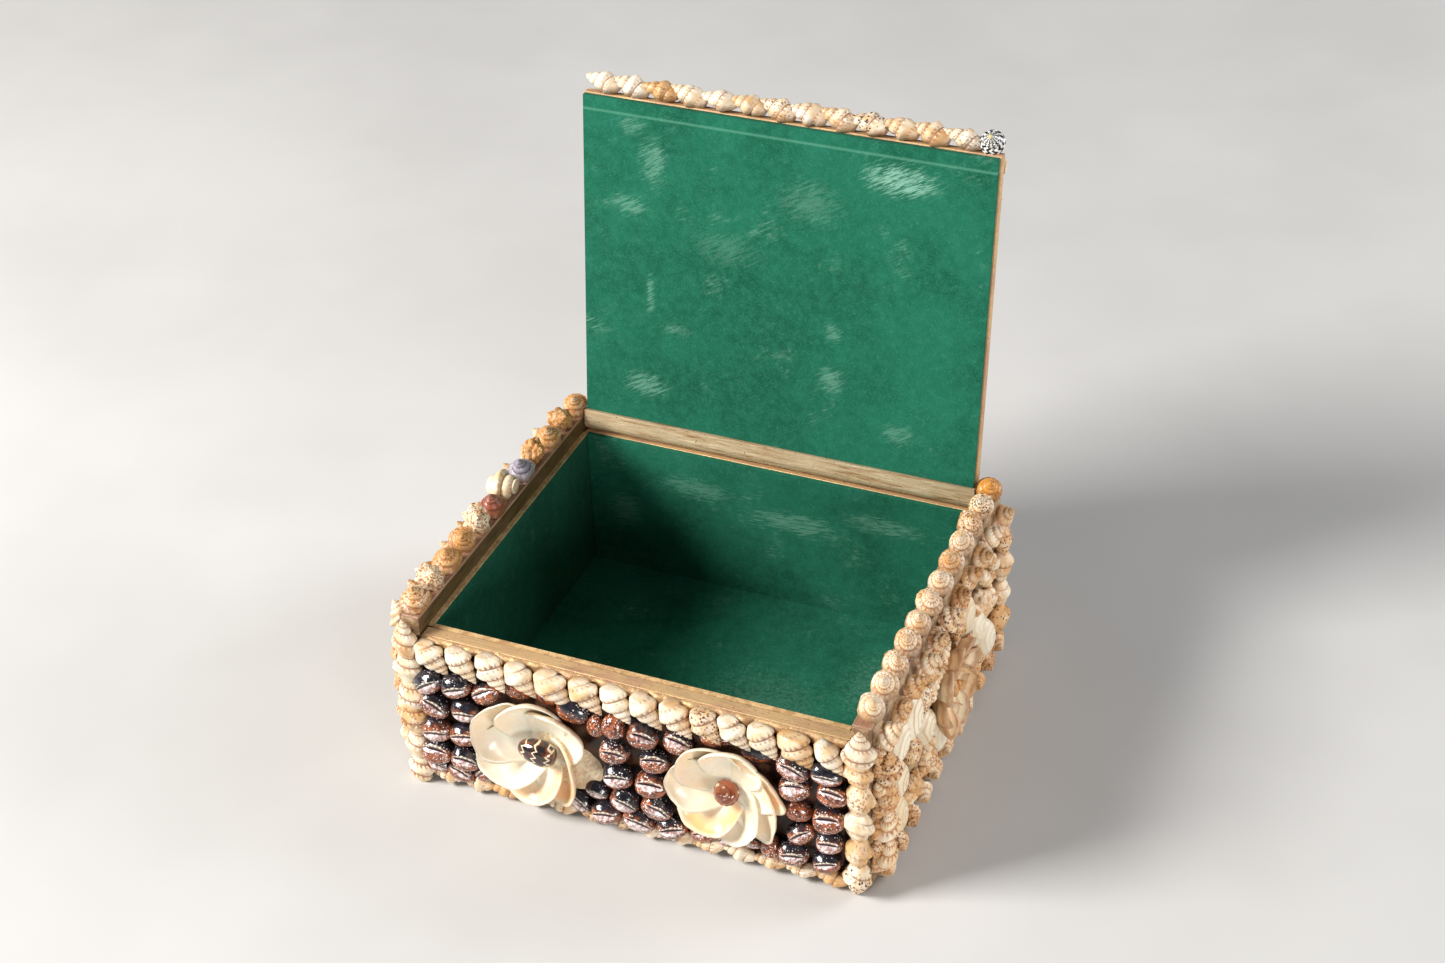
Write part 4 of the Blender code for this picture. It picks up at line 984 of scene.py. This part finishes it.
# From the back to the front of the left wall: dye, shape, size, turn, tilt, and which material
LEFT_STANDING = [
    ((0.5, 0.5, 0.1), "crown", 0.95, 20, 60, 0), ((0.6, 0.55, 0.1), "rough", 0.95, 60, 40, 0),
    ((0.5, 0.7, 0.1), "crown", 1.0, 15, 66, 0), ((0.75, 0.35, 0.1), "rough", 1.0, 80, 20, 0),
    ((0.1, 0.2, 0.3), "crown", 1.08, 10, 70, 3), ((0.05, 0.0, 0.0), "whelk", 1.15, 100, 8, 0),
    ((0.6, 0.2, 0.2), "crown", 1.0, 12, 74, 2), ((0.0, 0.75, 0.35), "rough", 1.05, 35, 45, 0),
    ((0.6, 0.75, 0.3), "crown", 0.95, 30, 52, 0), ((0.55, 0.8, 0.1), "crown", 1.05, 15, 70, 0),
    ((0.05, 0.9, 0.25), "rough", 1.0, 50, 50, 0), ((0.3, 1.0, 0.35), "crown", 1.08, 5, 72, 0),
]
RIGHT_STANDING = [
    (0.1, 0.0, 0.0), (0.05, 0.0, 0.0), (0.1, 0.3, 0.0), (0.15, 0.45, 0.0), (0.15, 0.45, 0.0), (0.1, 0.4, 0.0),
    (0.1, 0.35, 0.1), (0.35, 0.3, 0.0), (0.05, 0.1, 0.4), (0.3, 1.0, 0.55), (0.0, 1.0, 1.0),
]


def crowns():
    """The shells that stand on the side walls with their tips up."""
    right = Piece(RIGHT_CROWN, 71)
    draw = right.draw
    for y, dye in zip(spread(-66.2, 56.4, 11), RIGHT_STANDING):
        grow = draw.uniform(0.95, 1.04)
        right.put(draw.choice(SHELL["crown"]), (y, -78.8, 4.2), (8.6, 9.4 * grow, 10.6 * grow),
                  turn=draw.uniform(185, 220), tilt=draw.uniform(50, 66), dye=dye)
    right.finish("right_crown_shells", [CROWN_SHELLS, PALE_GLUE], "box", "whelk", "right_crown_row",
                 low=(LID_ROOM, -1, -1))
    one(RIGHT_CROWN, 72, "right_crown_orange_shell", "right_crown_pearl", SHELL["crown"][2], (61.4, -78.8, 4.4),
        (8.8, 9.6, 9.6), ORANGE, slot="pearl", turn=205, tilt=58, dye=(0.9, 0.0, 0.0))

    left = Piece(LEFT_CROWN, 73)
    draw = left.draw
    for u, (dye, kinds, grow, turn, tilt, kind) in zip(spread(-66.2, 66.2, 12), LEFT_STANDING):
        longer = 1.25 if kinds == "whelk" else 1.0
        left.put(draw.choice(SHELL[kinds]), (u, -77.9, 4.1), (9.4 * grow * longer, 10.6 * grow, 10.9 * grow),
                 turn=turn, tilt=tilt, spin=draw.uniform(0, 360), dye=dye, kind=kind)
    left.finish("left_crown_shells", [CROWN_SHELLS, PALE_GLUE, RED_SHELL, GREY_SHELL], "box", "whelk",
                "left_crown_row", high=(-LID_ROOM, 1, 1))


def back():
    """The back, plainer than the other sides: rows of plain shells round pale ovals."""
    plain = {"lift": 3.4, "kinds": "plain"}
    group(BACK, 81, "back_upper_shells", "back_upper_row", (-80.7, 80.7, 49.5, 59.8, 0.4, 1.8),
          ([(u, 54.6) for u in spread(-80.8, 80.8, 12)], (15.0, 10.8, 8.4), 0, 0, plain))
    group(BACK, 82, "back_bottom_shells", "back_bottom_row", (-80.7, 80.7, 0.4, 8.9, 0.4, 1.8),
          ([(u, 4.8) for u in spread(-80.8, 80.8, 12)], (15.0, 9.6, 8.0), 180, 0, {**plain, "lift": 3.2}))
    for hand, at in (("left", 75.2), ("right", -75.2)):
        group(BACK, 83 + (at > 0), f"back_{hand}_column_shells", f"back_{hand}_column",
              (at - 5.3, at + 5.3, 9.4, 49.0, 0.4, 1.8),
              ([(at * 1.01, v) for v in spread(8.6, 49.6, 3)], (15.2, 11.6, 8.6), 90, 0, plain))
    field = Piece(BACK, 85)
    field.bed(-69.7, 69.7, 9.4, 49.0, 0.4, 2.0)
    draw = field.draw
    for u in spread(-69.7, 69.7, 9):
        for v in spread(9.4, 49.0, 2):
            field.put(draw.choice(SHELL["oval"]), (u, v, 1.8), (19.5, 15.2, 5.4), turn=90 + draw.uniform(-14, 14),
                      tilt=draw.uniform(-5, 5), dye=(draw.uniform(0, 0.7), draw.uniform(0, 0.8), 0))
    field.finish("back_pale_shell_field", [OVALS, PALE_GLUE], "box", "whelk", "back_pale_shells")


LID_EDGE_DYES = [
    (0.0, 0.0, 0.0), (0.05, 0.0, 0.0), (0.65, 0.45, 0.1), (0.05, 0.0, 0.0), (0.0, 0.0, 0.0), (0.2, 0.0, 0.0),
    (0.2, 0.55, 0.3), (0.1, 0.0, 0.0), (0.3, 0.4, 0.2), (0.15, 1.0, 0.9), (0.35, 0.2, 0.1), (0.4, 0.15, 0.0),
    (0.1, 0.5, 0.3),
]


def lid():
    """The shells on the lid: a row on its front edge, and a border, dark shells and a flower on its outer face."""
    edge = Piece(LID_EDGE, 91)
    edge.lowest = LID_ROW_LOW
    draw = edge.draw
    for i, (u, dye) in enumerate(zip(spread(-73.5, 64.4, 13), LID_EDGE_DYES)):
        edge.put(SHELL["whelk"][(i * 3 + 2) % 4], (u, 2.1, 3.6), (14.2, 9.6, 8.8), turn=178 + draw.uniform(-7, 7),
                 tilt=13 + draw.uniform(-6, 6), spin=draw.uniform(0, 360), dye=dye)
    edge.finish("lid_front_edge_shells", [CREAM_SHELLS, PALE_GLUE], "lid", "whelk", "lid_front_row")
    one(LID_EDGE, 92, "lid_corner_shell", "lid_corner_nerite", SHELL["crown"][0], (69.0, 1.8, 4.2), (8.8, 9.2, 9.2),
        ZEBRA, "lid", "whelk", LID_ROW_LOW, turn=-80, tilt=40, dye=(0.0, 1.0, 1.0))

    # The border on the outer face: middles of the shells, which way they lie, and the part of the face
    high, low, half = 125.5, -2.0, 73.5
    middle = spread(low + 10.8, high - 10.8, 8)
    borders = {
        "front": ([(u, high - 5.25) for u in spread(-half, half, 12)], 0, (-half, half, high - 10.5, high)),
        "back": ([(u, low + 5.4) for u in spread(-half, half, 12)], 180, (-half, half, low, low + 10.6)),
        "left": ([(half - 5.25, v) for v in middle], 90, (half - 10.5, half, low + 10.8, high - 10.8)),
        "right": ([(5.25 - half, v) for v in middle], -90, (-half, 10.5 - half, low + 10.8, high - 10.8)),
    }
    for n, (key, (cells, turn, area)) in enumerate(borders.items()):
        group(LID_FACE, 93 + n, f"lid_outer_{key}_shells", f"lid_outer_{key}_row", (*area, 0.4, 1.4),
              (cells, (14.6, 10.6, 6.0), turn, 0, {"lift": 2.5, "sway": 12, "kinds": "plain"}), body="lid")

    centre = 62.5
    field = Piece(LID_FACE, 98)
    field.bed(-62.7, 62.7, 8.8, 114.7, 0.4, 1.8, fine=1.8)
    draw = field.draw
    for i, v in enumerate(spread(8.8, 114.7, 11)):
        for u in spread(-62.7 + (i % 2) * 4, 62.7 - (1 - i % 2) * 4, 11):
            if math.hypot(u, v - centre) < 22:
                continue
            field.put(SHELL["back"][1], (u, v, 2.6), (11.8, 9.2, 5.8), turn=draw.uniform(-20, 20),
                      tilt=draw.uniform(-6, 6), roll=draw.uniform(-16, 8), dye=(draw.choice((0.0, 0.1, 0.4)), 0.5, 0.0))
    field.finish("lid_outer_dark_shell_field", [DOVES, GLUE], "lid", "dark_dove", "lid_outer_dark_shells")
    ring = [(i * 360 / 7 + 10, 0.52, -20, 0.54, 0.44, 0.42, 18, 8, 0.2 + 0.3 * (i % 3), 0.0, 0.04) for i in range(7)]
    flower(LID_FACE, "lid_flower_petals", "lid_flower", 99, (0, centre, 24.0), ring, body="lid")
    one(LID_FACE, 100, "lid_flower_centre", "lid_flower_heart", SHELL["back"][0], (0, centre, 7.4), (11.5, 8.6, 7.0),
        HEARTS, "lid", turn=20, dye=(0.5, 0.0, 0))


front()
flowers()
side(RIGHT, "right", 30)
side(LEFT, "left", 50)
crowns()
back()
lid()


# The paper on the walls closes the gap behind it. The wood and the other papers keep their solids' shapes.

FLOOR_RUBS = [
    (-30, 58, 46, 18, 6, 0.22), (8, 58, 40, 22, 6, 0.30), (42, 58, 47, 18, 5, 0.26), (-58, 57, 30, 8, 10, 0.2),
    (20, 0, 5, 30, 9, 0.14), (52, 22, 5, 16, 8, 0.16),
]
LID_RUBS = [  # (x, y, up the lid, wide, high, strength)
    (41, 55, 113, 15, 7, 0.70), (-47, 55, 105, 6, 11, 0.30), (-56, 55, 88, 8, 5, 0.30), (-50, 50, 20, 10, 6, 0.36),
    (45, 50, 20, 7, 5, 0.24), (20, 50, 36, 6, 6, 0.30), (20, 52, 54, 4, 4, 0.26), (-38, 51, 44, 7, 3, 0.22),
    (-48, 52, 56, 2, 9, 0.30), (-55, 58, 117, 7, 4, 0.24), (10, 55, 100, 14, 10, 0.16), (-20, 55, 78, 16, 8, 0.12),
]
CUBE = [(0, 2, 3, 1), (4, 5, 7, 6), (0, 1, 5, 4), (2, 6, 7, 3), (0, 4, 6, 2), (1, 3, 7, 5)]


def linings():
    gilt = suede_material("green suede paper, gilt edge", FLOOR_RUBS, gold_above=RIM_H, slope=0.1)
    # The left wall's paper is the same green darkened towards black (shade=0.4) as painted shade.
    dark = suede_material("green suede paper with painted shade", FLOOR_RUBS, gold_above=RIM_H, slope=0.1, shade=0.4)
    green = suede_material("green suede paper of the back", FLOOR_RUBS, slope=0.1)
    for name, axis, way, finish in (
        ("front", 1, -1, gilt), ("back", 1, 1, green), ("left", 0, -1, dark), ("right", 0, 1, green),
    ):
        low, high = (np.array(c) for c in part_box(f"{name}_lining"))
        if way < 0:
            low[axis] -= GAP * 0.95
        else:
            high[axis] += GAP * 0.95
        low[2] -= GAP
        if name in ("left", "right"):
            low[1], high[1] = low[1] + 0.0001, high[1] - 0.0001
        corners = [(x, y, z) for z in (low[2], high[2]) for y in (low[1], high[1]) for x in (low[0], high[0])]
        mesh = bpy.data.meshes.new(f"{name}_suede")
        mesh.from_pydata(corners, [], CUBE)
        mesh.materials.append(finish)
        ob = linked(f"{name}_suede", mesh)
        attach(ob, "box")
        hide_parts(f"{name}_lining")


linings()


def paint_nodes():
    gold, worn_gold = (0.76, 0.52, 0.27), (0.56, 0.33, 0.15)
    along_x, along_y = (40.0, 600.0, 600.0), (600.0, 40.0, 600.0)
    rim = wood_material("gold rim wood", along_x, gold, worn_gold, 0.7)
    rail = wood_material("gold rail wood", (30.0, 700.0, 360.0), (0.98, 0.80, 0.52), (0.30, 0.16, 0.06), 0.1)
    # The side walls' gold paint is darkened as painted shade; only their bare pink top is the wood's own colour.
    shaded_cheeks = wood_material(
        "side wall wood, gold with painted shade", along_y, (0.20, 0.115, 0.035), (0.035, 0.022, 0.010), 0.1, bare_top=CHEEK_H
    )
    steel = wood_material("pin steel", along_x, (0.45, 0.44, 0.42), (0.30, 0.29, 0.27), 0.0)
    lid_rubs = []
    for x, y, along, wide, high, strength in LID_RUBS:
        at = PIVOT + np.array([0, along * MM * math.sin(LEAN), along * MM * math.cos(LEAN)])
        lid_rubs.append((x, at[1] / MM, at[2] / MM, wide, high, strength))
    paper = suede_material("green suede paper of the floor", FLOOR_RUBS)
    line = PIVOT[2] + PRESSED_LINE * math.cos(LEAN)
    lid_paper = suede_material("green suede paper of the lid", lid_rubs, line_at=line)
    finishes = {
        "front_wall": rim, "back_wall": rim, "left_wall": shaded_cheeks, "right_wall": shaded_cheeks, "floor_panel": rim,
        "lid_panel": rim, "lid_rail": rail, "left_hinge_pin": steel, "right_hinge_pin": steel, "lid_lining": lid_paper,
        "floor_lining": paper,
    }
    for key, ob in frame["nodes"].items():
        for slot in ob.material_slots:
            slot.material = finishes.get(key, slot.material)


paint_nodes()


# Camera, floor and light

def studio():
    # Fitted to the corners of the rim and of the lid in the photo
    camera = linked("camera", bpy.data.cameras.new("camera"))
    camera.location = (0.2508, -0.5689, 0.5328)
    camera.rotation_euler = (0.9567, 0.0265, 0.3879)
    camera.data.lens = 57.84
    camera.data.sensor_width = 36
    camera.data.clip_start = 0.01
    bpy.context.scene.camera = camera

    floor = bpy.data.meshes.new("floor")
    floor.from_pydata([(-4, -4, 0), (4, -4, 0), (4, 4, 0), (-4, 4, 0)], [], [(0, 1, 2, 3)])
    ground = linked("floor", floor)
    ground.location.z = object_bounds()[0][2] - 0.0001
    g = Graph("pale floor")
    place = g.place()
    cloth = g.noise(place, 6.0, 3, 0.6)
    g.finish(g.mix(g.smooth(cloth, 0.3, 0.7), (0.55, 0.54, 0.525), (0.60, 0.59, 0.575)), 0.9)
    floor.materials.append(g.material)

    def lamp(name, place, aim, size, power, colour):
        data = bpy.data.lights.new(name, "AREA")
        data.size = size
        data.energy = power
        data.color = colour
        ob = linked(name, data)
        ob.location = place
        way = np.array(aim) - np.array(place)
        ob.rotation_euler = Vector(way).to_track_quat("-Z", "Y").to_euler()

    lamp("key", (-1.15, -0.80, 1.0), (0, 0, 0.05), 0.6, 50, (1.0, 0.98, 0.95))
    lamp("fill", (1.35, -1.3, 0.30), (0, 0, 0.05), 0.5, 15, (1.0, 0.98, 0.95))
    lamp("back", (1.3, 0.9, 0.8), (0.1, 0, 0), 0.9, 19, (0.97, 0.98, 1.0))
    world = bpy.data.worlds.new("world")
    bpy.context.scene.world = world
    world.use_nodes = True
    world.node_tree.nodes["Background"].inputs[0].default_value = (0.92, 0.95, 1.0, 1)
    world.node_tree.nodes["Background"].inputs[1].default_value = 0.16
    bpy.context.scene.view_settings.view_transform = "Standard"


studio()
